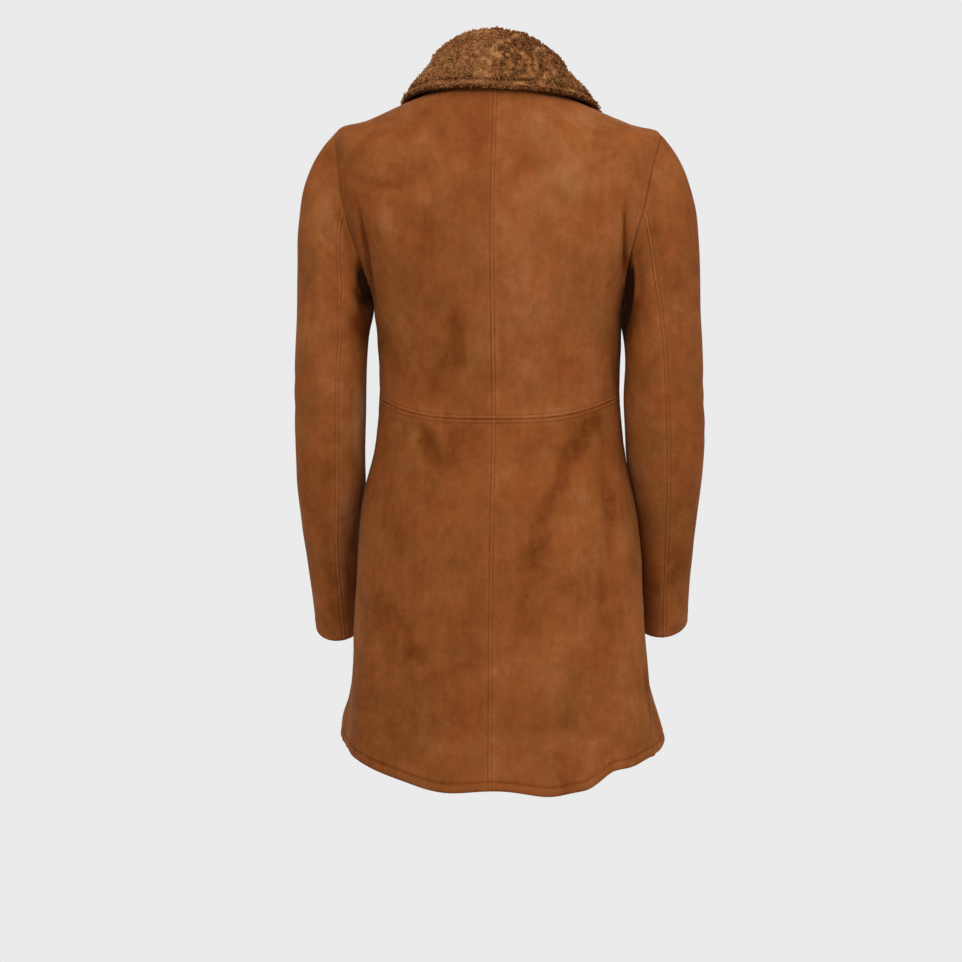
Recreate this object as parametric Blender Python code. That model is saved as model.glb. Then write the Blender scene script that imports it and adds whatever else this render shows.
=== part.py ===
"""A women's shearling coat, worn and hollow: skin side out, wool side in, with a turned-down wool collar.

Metres, +Z up. The front faces -Y and the wearer's left is +X. The origin lies between the two points where
the shoulder seams meet the neckline, which is where the wearer's shoulders carry the coat. Every panel is a
wall cut from one smooth body form, or from one smooth sleeve form, and parted from its neighbours at seams.
"""

import math

import bpy
import numpy as np

# ---- driving dimensions ----------------------------------------------------------------------------------
WALL = 0.007  # skin and clipped wool together
COLLAR_WALL = 0.009  # skin and the longer wool of the collar
SEAM_GAP = 0.0003  # between neighbouring pieces
COLLAR_LIFT = 0.0022  # between the collar's leaf and the coat that it lies on
FOLD_GAP = 0.0034  # between the collar's stand and its leaf at the fold
SHOULDER_LEAN = 0.0040  # how much higher the left shoulder is carried, and lower the right one

# The body form, one row for each girth line from the hem up to the neck. A level is the height of the line at
# the centre back, and the line may run higher or lower at the sides and in front.
BODY_SECTIONS = np.array(
    [
        # level, side_z, front_z, half_width, back_depth, front_depth, squareness
        (-0.838, -0.788, -0.815, 0.1885, 0.159, 0.160, 2.20),  # hem
        (-0.760, -0.716, -0.742, 0.1815, 0.151, 0.150, 2.20),
        (-0.660, -0.620, -0.645, 0.1755, 0.142, 0.138, 2.15),
        (-0.560, -0.523, -0.548, 0.1665, 0.127, 0.126, 2.20),  # hip
        (-0.470, -0.438, -0.460, 0.1515, 0.104, 0.113, 2.30),
        (-0.402, -0.374, -0.392, 0.1465, 0.091, 0.108, 2.30),  # waist seam
        (-0.330, -0.315, -0.325, 0.1475, 0.098, 0.117, 2.30),
        (-0.250, -0.250, -0.255, 0.1545, 0.113, 0.128, 2.30),  # underarm
        (-0.205, -0.202, -0.222, 0.1740, 0.118, 0.127, 2.30),
        (-0.160, -0.143, -0.190, 0.1930, 0.117, 0.119, 2.35),
        (-0.120, -0.088, -0.160, 0.1985, 0.109, 0.107, 2.40),
        (-0.088, -0.051, -0.135, 0.1965, 0.098, 0.096, 2.40),  # shoulder tip
        (-0.055, -0.039, -0.112, 0.1590, 0.085, 0.085, 2.30),
        (-0.027, -0.018, -0.092, 0.1120, 0.074, 0.076, 2.20),
        (-0.002, 0.000, -0.075, 0.0715, 0.062, 0.068, 2.00),  # neck
    ]
)
HEM, WAIST, UNDERARM, SHOULDER, NECK = -0.838, -0.402, -0.250, -0.088, -0.002
SIDE_RISE_POWER = 3.3  # how late a girth line leaves the height of the centre back on its way to the side

# Soft folds of the skirt. An angle of 90 degrees is the centre back, 0 the left side seam, 180 the right one.
BODY_FOLDS = np.array(
    [
        # angle, half_spread, height, top_level, full_level
        (80.0, 7.0, 0.0030, -0.55, -0.83),
        (92.0, 6.0, -0.0040, -0.55, -0.83),
        (108.0, 9.0, 0.0040, -0.50, -0.83),
        (129.0, 7.0, -0.0050, -0.42, -0.66),
        (143.0, 8.0, -0.0060, -0.50, -0.80),
        (166.0, 8.0, 0.0075, -0.60, -0.80),
        (184.0, 6.0, -0.0060, -0.60, -0.80),
        (200.0, 12.0, 0.0230, -0.715, -0.845),
        (56.0, 9.0, -0.0040, -0.45, -0.70),
        (36.0, 9.0, 0.0040, -0.45, -0.75),
        (8.0, 9.0, -0.0030, -0.55, -0.80),
        (-14.0, 13.0, 0.0140, -0.760, -0.815),
        (-45.0, 10.0, -0.0060, -0.45, -0.78),
        (-66.0, 10.0, 0.0050, -0.45, -0.78),
        (228.0, 10.0, -0.0060, -0.45, -0.78),
        (248.0, 10.0, 0.0050, -0.45, -0.78),
    ]
)

# Where the hem hangs lower than its plain line, dying away up to the level below.
HEM_DROP_TOP = -0.72
HEM_DROPS = np.array(
    [
        # angle, half_spread, drop
        (76.0, 12.0, 0.0045),
        (112.0, 13.0, 0.0100),
        (128.0, 8.0, 0.0095),
        (154.0, 13.0, 0.0125),
        (177.0, 11.0, 0.0150),
        (190.0, 5.0, 0.0055),
        (0.0, 8.0, 0.0040),
    ]
)

# The front edge: half the opening between the two fronts, by level. They hang almost edge to edge.
FRONT_EDGE = np.array(
    [
        # level, half_opening
        (-0.838, 0.0170),
        (-0.640, 0.0090),
        (-0.440, 0.0025),
        (-0.250, 0.0018),
        (-0.002, 0.0018),
    ]
)

# The armhole, an oval on the body form, and the places round it where the sleeve's two seams start.
ARMHOLE_BACK_SPREAD = 25.0  # degrees round the body from the side line
ARMHOLE_FRONT_SPREAD = 27.0
SLEEVE_BACK_SEAM = 104.0  # degrees round the armhole from the shoulder point
SLEEVE_FRONT_SEAM = 240.0

# The sleeve below the armpit: middle of the tube, half sizes across, and forward slope of the ring's plane.
SLEEVE_SECTIONS = np.array(
    [
        # x, y, z, half_width, half_depth, forward_tilt
        (0.2015, 0.004, -0.287, 0.0450, 0.0620, 0.0),
        (0.2035, 0.004, -0.332, 0.0455, 0.0600, 1.0),
        (0.2045, 0.002, -0.377, 0.0453, 0.0572, 5.0),
        (0.2055, -0.005, -0.424, 0.0444, 0.0548, 11.0),
        (0.2065, -0.018, -0.470, 0.0420, 0.0527, 17.0),
        (0.2065, -0.036, -0.516, 0.0378, 0.0510, 20.5),
        (0.2055, -0.054, -0.560, 0.0340, 0.0497, 22.0),
        (0.2035, -0.072, -0.604, 0.0312, 0.0490, 22.5),
        (0.2015, -0.089, -0.646, 0.0300, 0.0487, 22.5),
        (0.2010, -0.093, -0.656, 0.0302, 0.0490, 22.5),  # cuff edge
    ]
)
ARMPIT, ELBOW, WRIST = -0.300, -0.430, -0.560  # levels down the sleeve
CAP_OUTWARD = {"left": 0.70, "right": 0.56}  # how strongly the sleeve head springs outwards from its armhole
CAP_START = 0.10  # the same at the armpit
CAP_SWELL = 0.26  # and how strongly it springs backwards and forwards
CAP_HOLD = 0.30  # how much less steeply it falls at the top
CAP_REACH = 1.05  # how far that first direction carries, of the way to the first ring
SLEEVE_FULLNESS = {"left": 0.975, "right": 1.045}  # of the half width
SLEEVE_ASIDE = {"left": 0.0020, "right": -0.0020}  # how much further out each hangs
SLEEVE_SWAY = 0.0030  # how far both forearms hang towards the wearer's left
SLEEVE_RISE = {"left": 0.0, "right": 0.0060}  # how much higher each cuff is held

# The collar, one row for each station from the centre back to the front edge: its place on the neckline, the
# way it leans, how high it stands before it turns over, and where its edge lies on the body form.
COLLAR_STATIONS = np.array(
    [
        # neck_angle, outward_angle, stand, edge_angle, edge_level
        (90.0, 90.0, 0.062, 90.0, -0.0100),
        (60.0, 62.0, 0.056, 56.0, -0.0115),
        (30.0, 33.0, 0.040, 20.0, -0.0200),
        (0.0, 2.0, 0.028, -14.0, -0.0360),
        (-30.0, -30.0, 0.021, -42.0, -0.0600),
        (-60.0, -58.0, 0.015, -64.0, -0.0960),
        (-88.0, -86.0, 0.010, -79.0, -0.1120),
    ]
)
COLLAR_COLUMNS_EACH_SIDE = 16
FOLD_TURNS = (150.0, 120.0, 90.0, 60.0, 30.0)  # degrees at which the roll of the collar's fold is set out
EDGE_WALL_SHARE = 0.65  # of the collar's wall is left at its rounded edge
LEAF_FALL_POWER = 1.35  # how soon the leaf comes down from the fold on to the coat
COLLAR_LEAF = (  # share of the way from the fold to the edge, and the bulge there
    (0.00, 0.0),
    (0.15, 0.0020),
    (0.30, 0.0036),
    (0.45, 0.0040),
    (0.60, 0.0032),
    (0.72, 0.0018),
    (0.83, -0.0008),
    (0.91, 0.0004),
    (1.00, 0.0),
)

SUEDE = {"colour": (0.231, 0.080, 0.021), "roughness": 0.90}
WOOL = {"colour": (0.185, 0.078, 0.027), "roughness": 0.95}


# ---- small mathematics -----------------------------------------------------------------------------------
def smooth_columns(table, at):
    """Every later column of a table, read at values of the first one by cubic curves through its rows."""
    x, y = table[:, 0], table[:, 1:]
    slope = np.gradient(y, x, axis=0)
    at = np.clip(np.asarray(at, float), x[0], x[-1])
    row = np.clip(np.searchsorted(x, at, side="right") - 1, 0, len(x) - 2)
    step = x[row + 1] - x[row]
    s = ((at - x[row]) / step)[..., None]
    step = step[..., None]
    return (
        y[row] * (1 + 2 * s) * (1 - s) ** 2
        + slope[row] * step * s * (1 - s) ** 2
        + y[row + 1] * s**2 * (3 - 2 * s)
        + slope[row + 1] * step * s**2 * (s - 1)
    )


def eased(low, high, value):
    s = np.clip((value - low) / (high - low), 0.0, 1.0)
    return s * s * (3 - 2 * s)


def unit(vectors):
    return vectors / np.maximum(np.linalg.norm(vectors, axis=-1, keepdims=True), 1e-12)


def bell(angle, middle, spread):
    """One at the middle angle, falling away smoothly on both sides of it."""
    away = (angle - middle + 180.0) % 360.0 - 180.0
    return np.exp(-((away / spread) ** 2))


# ---- the body form ---------------------------------------------------------------------------------------
def fold_height(angle, level):
    """Height of the skirt's soft folds above the plain form."""
    height = np.zeros(np.broadcast(angle, level).shape)
    for middle, spread, rise, top, full in BODY_FOLDS:
        height = height + rise * bell(angle, middle, spread) * eased(top, full, level)
    return height


def body_point(angle, level):
    """A point of the body form: angle round it in degrees, and level, its girth line's height at the back."""
    angle, level = np.broadcast_arrays(np.asarray(angle, float), np.asarray(level, float))
    side_z, front_z, half_width, back_depth, front_depth, squareness = np.moveaxis(
        smooth_columns(BODY_SECTIONS, level), -1, 0
    )
    across, along = np.cos(np.radians(angle)), np.sin(np.radians(angle))
    power = 2.0 / squareness
    x_share = np.sign(across) * np.abs(across) ** power
    y_share = np.sign(along) * np.abs(along) ** power
    depth = np.where(along >= 0, back_depth, front_depth)
    end_z = np.where(along >= 0, level, front_z)
    z = side_z + (end_z - side_z) * (1 - np.abs(x_share) ** SIDE_RISE_POWER)
    drop = sum(fall * bell(angle, middle, spread) for middle, spread, fall in HEM_DROPS)
    z = z - drop * eased(HEM_DROP_TOP, HEM, level)
    z = z + SHOULDER_LEAN * x_share * eased(UNDERARM, SHOULDER, level)
    outward = unit(np.stack([x_share / half_width, y_share / depth, 0 * z], axis=-1))
    plain = np.stack([half_width * x_share, depth * y_share, z], axis=-1)
    return plain + fold_height(angle, level)[..., None] * outward


def body_normal(angle, level):
    """The outward unit normal of the body form."""
    turn, rise = 0.5, 0.002
    low, high = np.clip(level - rise, HEM, NECK), np.clip(level + rise, HEM, NECK)
    round_it = body_point(angle + turn, level) - body_point(angle - turn, level)
    up_it = body_point(angle, high) - body_point(angle, low)
    return unit(np.cross(round_it, up_it))


def angle_for_x(x, level):
    """The angle from the side line, in degrees, at which a girth line comes in to a given distance x."""
    _, _, half_width, _, _, squareness = np.moveaxis(smooth_columns(BODY_SECTIONS, level), -1, 0)
    return np.degrees(np.arccos(np.clip(x / half_width, 0, 1) ** (squareness / 2)))


def on_side(angle, side):
    """An angle of the left half, carried to the same place of the half asked for."""
    return angle if side == "left" else 180.0 - angle


def faced(points, side):
    """A grid whose columns run the way round that faces it outwards."""
    return points if side == "left" else points[:, ::-1]


def armhole(turn):
    """(angle, level) of the left armhole at a turn in degrees: 0 at the shoulder, 90 behind, 180 below."""
    turn = np.radians(np.asarray(turn, float))
    level = (SHOULDER + UNDERARM) / 2 + (SHOULDER - UNDERARM) / 2 * np.cos(turn)
    spread = np.where(np.sin(turn) >= 0, ARMHOLE_BACK_SPREAD, ARMHOLE_FRONT_SPREAD)
    return spread * np.sin(turn), level


# ---- walls -----------------------------------------------------------------------------------------------
def trimmed(points, ends, rows):
    """The grid drawn in by half a seam gap at the chosen first and last columns, and first and last rows."""
    points, gap = points.copy(), SEAM_GAP / 2
    if ends[0]:
        points[:, 0] += gap * unit(points[:, 1] - points[:, 0])
    if ends[1]:
        points[:, -1] += gap * unit(points[:, -2] - points[:, -1])
    if rows[0]:
        points[0] += gap * unit(points[1] - points[0])
    if rows[1]:
        points[-1] += gap * unit(points[-2] - points[-1])
    return points


def wall_object(name, outer, inner, finish):
    """A closed wall between two grids of the same size. Rows run up, and columns run so that the outer grid
    faces out. The rim is cut into triangles the same way on both sides of a seam."""
    rows, columns = outer.shape[:2]
    count = rows * columns
    place = np.arange(count).reshape(rows, columns)
    faces = np.stack([place[:-1, :-1], place[:-1, 1:], place[1:, 1:], place[1:, :-1]], axis=-1).reshape(-1, 4)
    faces = np.concatenate([faces, faces[:, ::-1] + count]).tolist()
    for here, there in (
        (place[0, :-1], place[0, 1:]),
        (place[:-1, -1], place[1:, -1]),
    ):
        faces += np.stack([there, here, there + count], axis=-1).tolist()
        faces += np.stack([here, here + count, there + count], axis=-1).tolist()
    for here, there in (
        (place[-1, :-1], place[-1, 1:]),
        (place[:-1, 0], place[1:, 0]),
    ):
        faces += np.stack([here, there, there + count], axis=-1).tolist()
        faces += np.stack([here, there + count, here + count], axis=-1).tolist()
    mesh = bpy.data.meshes.new(name)
    mesh.from_pydata(np.concatenate([outer.reshape(-1, 3), inner.reshape(-1, 3)]).tolist(), [], faces)
    mesh.validate()
    mesh.update()
    mesh.shade_smooth()
    mesh.set_sharp_from_angle(angle=math.radians(40.0))
    mesh.materials.append(material_for(name, finish))
    made = bpy.data.objects.new(name, mesh)
    bpy.context.scene.collection.objects.link(made)
    return made


def material_for(name, finish):
    material = bpy.data.materials.new(name)
    material.use_nodes = True
    shader = material.node_tree.nodes["Principled BSDF"]
    shader.inputs["Base Color"].default_value = (*finish["colour"], 1.0)
    shader.inputs["Roughness"].default_value = finish["roughness"]
    shader.inputs["Metallic"].default_value = 0.0
    return material


# ---- panels of the body ----------------------------------------------------------------------------------
SKIRT_LEVELS = np.linspace(HEM, WAIST, 11)  # rows that the back skirt and the front share at the side seam
WAIST_LEVELS = np.linspace(WAIST, UNDERARM, 6)  # rows that the back bodice and the front share
YOKE_LEVELS = np.linspace(SHOULDER, NECK, 6)  # rows above the armhole
BACK_SHARES = np.linspace(0.0, 1.0, 13)  # columns that the back skirt and the back bodice share at the waist
FRONT_SHARES = np.linspace(0.0, 1.0, 11)
ARMHOLE_TURNS = {  # where the armhole is set out, for the panels and the sleeves alike
    "top_back": np.linspace(0.0, SLEEVE_BACK_SEAM, 8),
    "under_back": np.linspace(SLEEVE_BACK_SEAM, 180.0, 7),
    "under_front": np.linspace(180.0, SLEEVE_FRONT_SEAM, 6),
    "top_front": np.linspace(SLEEVE_FRONT_SEAM, 360.0, 9),
}


def rows_above_underarm(turn):
    """Levels and side angles of a panel's rows, from the underarm up round the armhole and the shoulder."""
    angle, level = armhole(turn)
    return np.concatenate([level, YOKE_LEVELS[1:]]), np.concatenate([angle, 0 * YOKE_LEVELS[1:]])


def body_wall(name, angles, levels, seams, side):
    """A body panel's wall from its grid of angles and levels on the left half. Seams say which edges are
    drawn in: the first and last column, and the first and last row."""
    angles, levels = np.broadcast_arrays(angles, levels)
    angles = on_side(angles, side)
    points = body_point(angles, levels)
    outer = trimmed(points, seams[:2], seams[2:])
    inner = trimmed(points - WALL * body_normal(angles, levels), seams[:2], seams[2:])
    return wall_object(f"{name}_{side}", faced(outer, side), faced(inner, side), SUEDE)


def back_bodice(side):
    turn = np.concatenate([ARMHOLE_TURNS["top_back"], ARMHOLE_TURNS["under_back"][1:]])[::-1]
    levels, side_angles = rows_above_underarm(turn)
    levels = np.concatenate([WAIST_LEVELS[:-1], levels])
    side_angles = np.concatenate([0 * WAIST_LEVELS[:-1], side_angles])[:, None]
    angles = side_angles + (90.0 - side_angles) * BACK_SHARES
    return body_wall("back_bodice", angles, levels[:, None], (True, True, True, True), side)


def back_skirt(side):
    return body_wall("back_skirt", 90.0 * BACK_SHARES, SKIRT_LEVELS[:, None], (True, True, False, True), side)


def front_edge_angle(level):
    return -angle_for_x(smooth_columns(FRONT_EDGE, level)[..., 0], level)


def front(side):
    turn = np.concatenate([ARMHOLE_TURNS["under_front"], ARMHOLE_TURNS["top_front"][1:]])
    levels, side_angles = rows_above_underarm(turn)
    levels = np.concatenate([SKIRT_LEVELS, WAIST_LEVELS[1:-1], levels])
    below = np.zeros(len(SKIRT_LEVELS) + len(WAIST_LEVELS) - 2)
    side_angles = np.concatenate([below, side_angles])[:, None]
    edge = front_edge_angle(levels)[:, None]
    angles = edge + (side_angles - edge) * FRONT_SHARES
    return body_wall("front", angles, levels[:, None], (False, True, False, True), side)


# ---- sleeves ---------------------------------------------------------------------------------------------
def sleeve_rings(turn, side):
    """The rings of a sleeve below the armpit. Turn 0 is its outer side, 90 its back, 180 next to the body."""
    across, along = np.cos(np.radians(turn)), np.sin(np.radians(turn))
    rings = []
    for x, y, z, half_width, half_depth, tilt in SLEEVE_SECTIONS:
        slope = math.radians(tilt)
        sway = SLEEVE_SWAY * eased(ELBOW, WRIST, z) * (1 if side == "left" else -1)
        rise = SLEEVE_RISE[side] * eased(ARMPIT, WRIST, z)
        ring_x = x + SLEEVE_ASIDE[side] + sway + half_width * SLEEVE_FULLNESS[side] * across
        ring_y = y + half_depth * along * math.cos(slope)
        ring_z = z + rise - half_depth * along * math.sin(slope)
        rings.append(np.stack([ring_x if side == "left" else -ring_x, ring_y, ring_z], axis=-1))
    return np.stack(rings)


def armhole_point(turn, side):
    angle, level = armhole(turn)
    return body_point(on_side(angle, side), level)


def sleeve_point(turn, along, side):
    """A point of a sleeve: turn round it in degrees, and along it, 0 at the armhole, 1 at the first ring
    below the armpit, and then one for each further ring."""
    turn, along = np.broadcast_arrays(np.asarray(turn, float), np.asarray(along, float))
    start = armhole_point(turn, side)
    rings = sleeve_rings(turn, side)
    upward = (1 + np.cos(np.radians(turn))) / 2
    outward = 1.0 if side == "left" else -1.0
    leaving = np.stack(
        [
            outward * (CAP_START + CAP_OUTWARD[side] * upward),
            CAP_SWELL * np.sin(np.radians(turn)),
            CAP_HOLD * upward - 1.0,
        ],
        axis=-1,
    )
    reach = CAP_REACH * np.linalg.norm(rings[0] - start, axis=-1, keepdims=True)
    s = np.clip(along, 0, 1)[..., None]
    cap = (
        start * (1 + 2 * s) * (1 - s) ** 2
        + unit(leaving) * reach * s * (1 - s) ** 2
        + rings[0] * s**2 * (3 - 2 * s)
        + unit(rings[1] - rings[0]) * reach * s**2 * (s - 1)
    )
    further = np.clip(along - 1, 0, len(SLEEVE_SECTIONS) - 1)
    row = np.clip(further.astype(int), 0, len(SLEEVE_SECTIONS) - 2)
    share = (further - row)[..., None]
    slopes = np.gradient(rings, axis=0)

    def at(values, index):
        return np.take_along_axis(values, index[None, ..., None], 0)[0]

    tube = (
        at(rings, row) * (1 + 2 * share) * (1 - share) ** 2
        + at(slopes, row) * share * (1 - share) ** 2
        + at(rings, row + 1) * share**2 * (3 - 2 * share)
        + at(slopes, row + 1) * share**2 * (share - 1)
    )
    return np.where(along[..., None] <= 1, cap, tube)


def sleeve_normal(turn, along, side):
    """The outward unit normal of a sleeve."""
    step, reach = 2.0, 0.02
    round_it = sleeve_point(turn + step, along, side) - sleeve_point(turn - step, along, side)
    top, end = np.clip(along - reach, 0, None), np.clip(along + reach, None, len(SLEEVE_SECTIONS))
    up_it = sleeve_point(turn, top, side) - sleeve_point(turn, end, side)
    return unit(np.cross(round_it, up_it)) * (1.0 if side == "left" else -1.0)


def sleeve_panel(name, turns, side):
    along = np.concatenate([np.linspace(0.0, 1.0, 8), np.arange(2, len(SLEEVE_SECTIONS) + 1)])[::-1, None]
    points = sleeve_point(turns, along, side)
    inner = points - WALL * sleeve_normal(turns, along, side)
    middle = armhole_point(np.arange(0.0, 360.0, 15.0), side).mean(axis=0)
    leaving = unit(points[-2] - points[-1])
    inner[-1] = points[-1] + WALL * unit(middle - points[-1]) + 2 * SEAM_GAP * leaving
    inner[-2] = (inner[-2] + points[-2] + WALL * unit(middle - points[-1])) / 2
    points[-1] += SEAM_GAP * leaving
    outer = trimmed(points, (True, True), (False, False))
    inner = trimmed(inner, (True, True), (False, False))
    return wall_object(f"{name}_{side}", faced(outer, side), faced(inner, side), SUEDE)


def sleeve(side):
    turns = ARMHOLE_TURNS
    sleeve_panel("sleeve_top", np.concatenate([turns["top_front"] - 360.0, turns["top_back"][1:]]), side)
    sleeve_panel("sleeve_under", np.concatenate([turns["under_back"], turns["under_front"][1:]]), side)


# ---- collar ----------------------------------------------------------------------------------------------
def collar_half(stations, side):
    """The outer and inner faces of half the collar, a column for each station from the centre back: up the
    stand, over the fold and down the leaf that lies on the coat."""
    index = np.arange(len(COLLAR_STATIONS), dtype=float)
    neck_angle, outward, stand, edge_angle, edge_level = np.moveaxis(
        smooth_columns(np.column_stack([index, COLLAR_STATIONS]), stations), -1, 0
    )
    forwards = 1.0 if side == "left" else -1.0
    root_angle = on_side(neck_angle, side)
    root, root_normal = body_point(root_angle, NECK), body_normal(root_angle, NECK)
    ahead, behind = root_angle - 0.5 * forwards, root_angle + 0.5 * forwards
    along = unit(body_point(ahead, NECK) - body_point(behind, NECK))
    leaning = np.radians(on_side(outward, side))
    away = np.stack([np.cos(leaning), np.sin(leaning), 0 * leaning], axis=-1)
    away = unit(away - (away * along).sum(-1, keepdims=True) * along)
    upward = unit(np.cross(along, away)) * forwards
    leaf = FOLD_GAP + COLLAR_WALL

    def place(out, up):
        """A point so far out from the neckline and so far up from it, as the collar leans."""
        out, up = (np.broadcast_to(value, stand.shape)[:, None] for value in (out, up))
        return root + away * out + upward * up

    def lying(share, height, start_out):
        """A point of the leaf: its share of the way to the edge, and its height above the coat."""
        angle = on_side(neck_angle + (edge_angle - neck_angle) * share, side)
        level = NECK + (edge_level - NECK) * share
        drawn = (place(start_out, stand) - root - root_normal * height) * (1 - share) ** LEAF_FALL_POWER
        return body_point(angle, level) + body_normal(angle, level) * height + drawn

    outer = [place(-WALL, SEAM_GAP), place(-WALL, stand / 2), place(-WALL, stand)]
    inner = [place(0.0, SEAM_GAP), place(0.0, stand / 2), place(0.0, stand)]
    radius = (leaf + WALL) / 2
    for turn in FOLD_TURNS:
        across, rise = math.cos(math.radians(turn)), math.sin(math.radians(turn))
        outer.append(place((leaf - WALL) / 2 + radius * across, stand + radius * rise))
        inner.append(place(FOLD_GAP / 2 * (1 + across), stand + FOLD_GAP / 2 * rise))
    for share, bulge in COLLAR_LEAF:
        outer.append(lying(share, COLLAR_LIFT + COLLAR_WALL + bulge, leaf))
        inner.append(lying(share, COLLAR_LIFT, FOLD_GAP))
    outer[-1] = lying(share, COLLAR_LIFT + COLLAR_WALL * EDGE_WALL_SHARE, leaf)
    return np.stack(outer), np.stack(inner)


def collar():
    stations = np.linspace(0.0, len(COLLAR_STATIONS) - 1, COLLAR_COLUMNS_EACH_SIDE)
    left, right = collar_half(stations, "left"), collar_half(stations, "right")
    outer, inner = (np.concatenate([right[face][:, :0:-1], left[face]], axis=1) for face in (0, 1))
    return wall_object("collar", outer, inner, WOOL)


def main():
    for leftover in list(bpy.data.objects):
        bpy.data.objects.remove(leftover)
    for side in ("left", "right"):
        back_bodice(side)
        back_skirt(side)
        front(side)
        sleeve(side)
    collar()


main()
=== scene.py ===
import math

import bpy
import numpy as np
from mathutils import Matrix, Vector


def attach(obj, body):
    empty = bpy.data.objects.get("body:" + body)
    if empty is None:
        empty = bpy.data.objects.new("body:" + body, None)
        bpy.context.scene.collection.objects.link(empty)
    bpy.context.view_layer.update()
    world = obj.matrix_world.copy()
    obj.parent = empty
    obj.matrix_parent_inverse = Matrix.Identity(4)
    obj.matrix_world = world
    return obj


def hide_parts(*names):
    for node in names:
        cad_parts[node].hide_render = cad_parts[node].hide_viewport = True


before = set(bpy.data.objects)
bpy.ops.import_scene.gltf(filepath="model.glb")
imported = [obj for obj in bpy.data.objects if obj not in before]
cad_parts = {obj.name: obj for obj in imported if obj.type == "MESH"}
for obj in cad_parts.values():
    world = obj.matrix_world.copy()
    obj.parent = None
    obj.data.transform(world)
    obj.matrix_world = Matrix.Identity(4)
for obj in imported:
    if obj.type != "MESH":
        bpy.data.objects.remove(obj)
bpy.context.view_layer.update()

SIDES = ("left", "right")
MM = 0.001

bl_info = {
    "name": "Shearling Coat",
    "version": (1, 0, 0),
    "blender": (4, 5, 0),
    "location": "3D View > Sidebar > Coat",
    "description": "A suede shearling coat with a curled wool collar, cut and sewn from its sizes",
    "category": "Add Mesh",
}


# ---- the pattern: the coat's form, from its sizes ------------------------------------------------
HEM, WAIST, UNDERARM, SHOULDER, NECK = -0.838, -0.402, -0.250, -0.088, -0.002
SHOULDER_LEAN = 0.0040  # how much higher the left shoulder is carried, and lower the right one
SIDE_RISE_POWER = 3.3  # how late a girth line rises on its way from the centre to the side
BODY_SECTIONS = np.array(
    [
        # level, side_z, front_z, half_width, back_depth, front_depth, squareness
        (-0.838, -0.788, -0.815, 0.1885, 0.159, 0.160, 2.20),  # hem
        (-0.760, -0.716, -0.742, 0.1815, 0.151, 0.150, 2.20),
        (-0.660, -0.620, -0.645, 0.1755, 0.142, 0.138, 2.15),
        (-0.560, -0.523, -0.548, 0.1665, 0.127, 0.126, 2.20),  # hip
        (-0.470, -0.438, -0.460, 0.1515, 0.104, 0.113, 2.30),
        (-0.402, -0.374, -0.392, 0.1465, 0.091, 0.108, 2.30),  # waist seam
        (-0.330, -0.315, -0.325, 0.1475, 0.098, 0.117, 2.30),
        (-0.250, -0.250, -0.255, 0.1545, 0.113, 0.128, 2.30),  # underarm
        (-0.205, -0.202, -0.222, 0.1740, 0.118, 0.127, 2.30),
        (-0.160, -0.143, -0.190, 0.1930, 0.117, 0.119, 2.35),
        (-0.120, -0.088, -0.160, 0.1985, 0.109, 0.107, 2.40),
        (-0.088, -0.051, -0.135, 0.1965, 0.098, 0.096, 2.40),  # shoulder tip
        (-0.055, -0.039, -0.112, 0.1590, 0.085, 0.085, 2.30),
        (-0.027, -0.018, -0.092, 0.1120, 0.074, 0.076, 2.20),
        (-0.002, 0.000, -0.075, 0.0715, 0.062, 0.068, 2.00),  # neck
    ]
)
BODY_FOLDS = np.array(
    [
        # angle, half_spread, height, top_level, full_level
        (80.0, 7.0, 0.0030, -0.55, -0.83),
        (92.0, 6.0, -0.0040, -0.55, -0.83),
        (108.0, 9.0, 0.0040, -0.50, -0.83),
        (129.0, 7.0, -0.0050, -0.42, -0.66),
        (143.0, 8.0, -0.0060, -0.50, -0.80),
        (166.0, 8.0, 0.0075, -0.60, -0.80),
        (184.0, 6.0, -0.0060, -0.60, -0.80),
        (200.0, 12.0, 0.0230, -0.715, -0.845),
        (56.0, 9.0, -0.0040, -0.45, -0.70),
        (36.0, 9.0, 0.0040, -0.45, -0.75),
        (8.0, 9.0, -0.0030, -0.55, -0.80),
        (-14.0, 13.0, 0.0140, -0.760, -0.815),
        (-45.0, 10.0, -0.0060, -0.45, -0.78),
        (-66.0, 10.0, 0.0050, -0.45, -0.78),
        (228.0, 10.0, -0.0060, -0.45, -0.78),
        (248.0, 10.0, 0.0050, -0.45, -0.78),
    ]
)
HEM_DROP_TOP = -0.72
HEM_DROPS = np.array(
    [
        # angle, half_spread, drop
        (76.0, 12.0, 0.0045),
        (112.0, 13.0, 0.0100),
        (128.0, 8.0, 0.0095),
        (154.0, 13.0, 0.0125),
        (177.0, 11.0, 0.0150),
        (190.0, 5.0, 0.0055),
        (0.0, 8.0, 0.0040),
        (186.0, 9.5, 0.0100),
        (9.0, 8.0, 0.0085),
        (215.0, 12.0, 0.0065),
        (24.0, 8.0, 0.0045),
        (170.0, 10.0, 0.0030),
    ]
)
FRONT_EDGE = np.array(
    [
        # level, half_opening
        (-0.838, 0.0170),
        (-0.640, 0.0090),
        (-0.440, 0.0025),
        (-0.250, 0.0018),
        (-0.002, 0.0018),
    ]
)
ARMHOLE_BACK_SPREAD = {"left": 18.0, "right": 25.0}  # degrees round the body from the side line
ARMHOLE_FRONT_SPREAD = 27.0
SLEEVE_FRONT_SEAM = 240.0  # degrees round the armhole from the shoulder point
SLEEVE_BACK_SEAM = {
    # way down the sleeve, degrees round it
    "left": ((0, 84), (0.15, 90), (0.38, 100), (1, 110.5), (2.2, 110), (6, 109.5), (9.4, 110.5)),
    "right": ((0, 84), (0.2, 88.5), (0.55, 92.5), (1, 89), (2.2, 86), (6, 85.5), (9.4, 84)),
}
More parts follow.
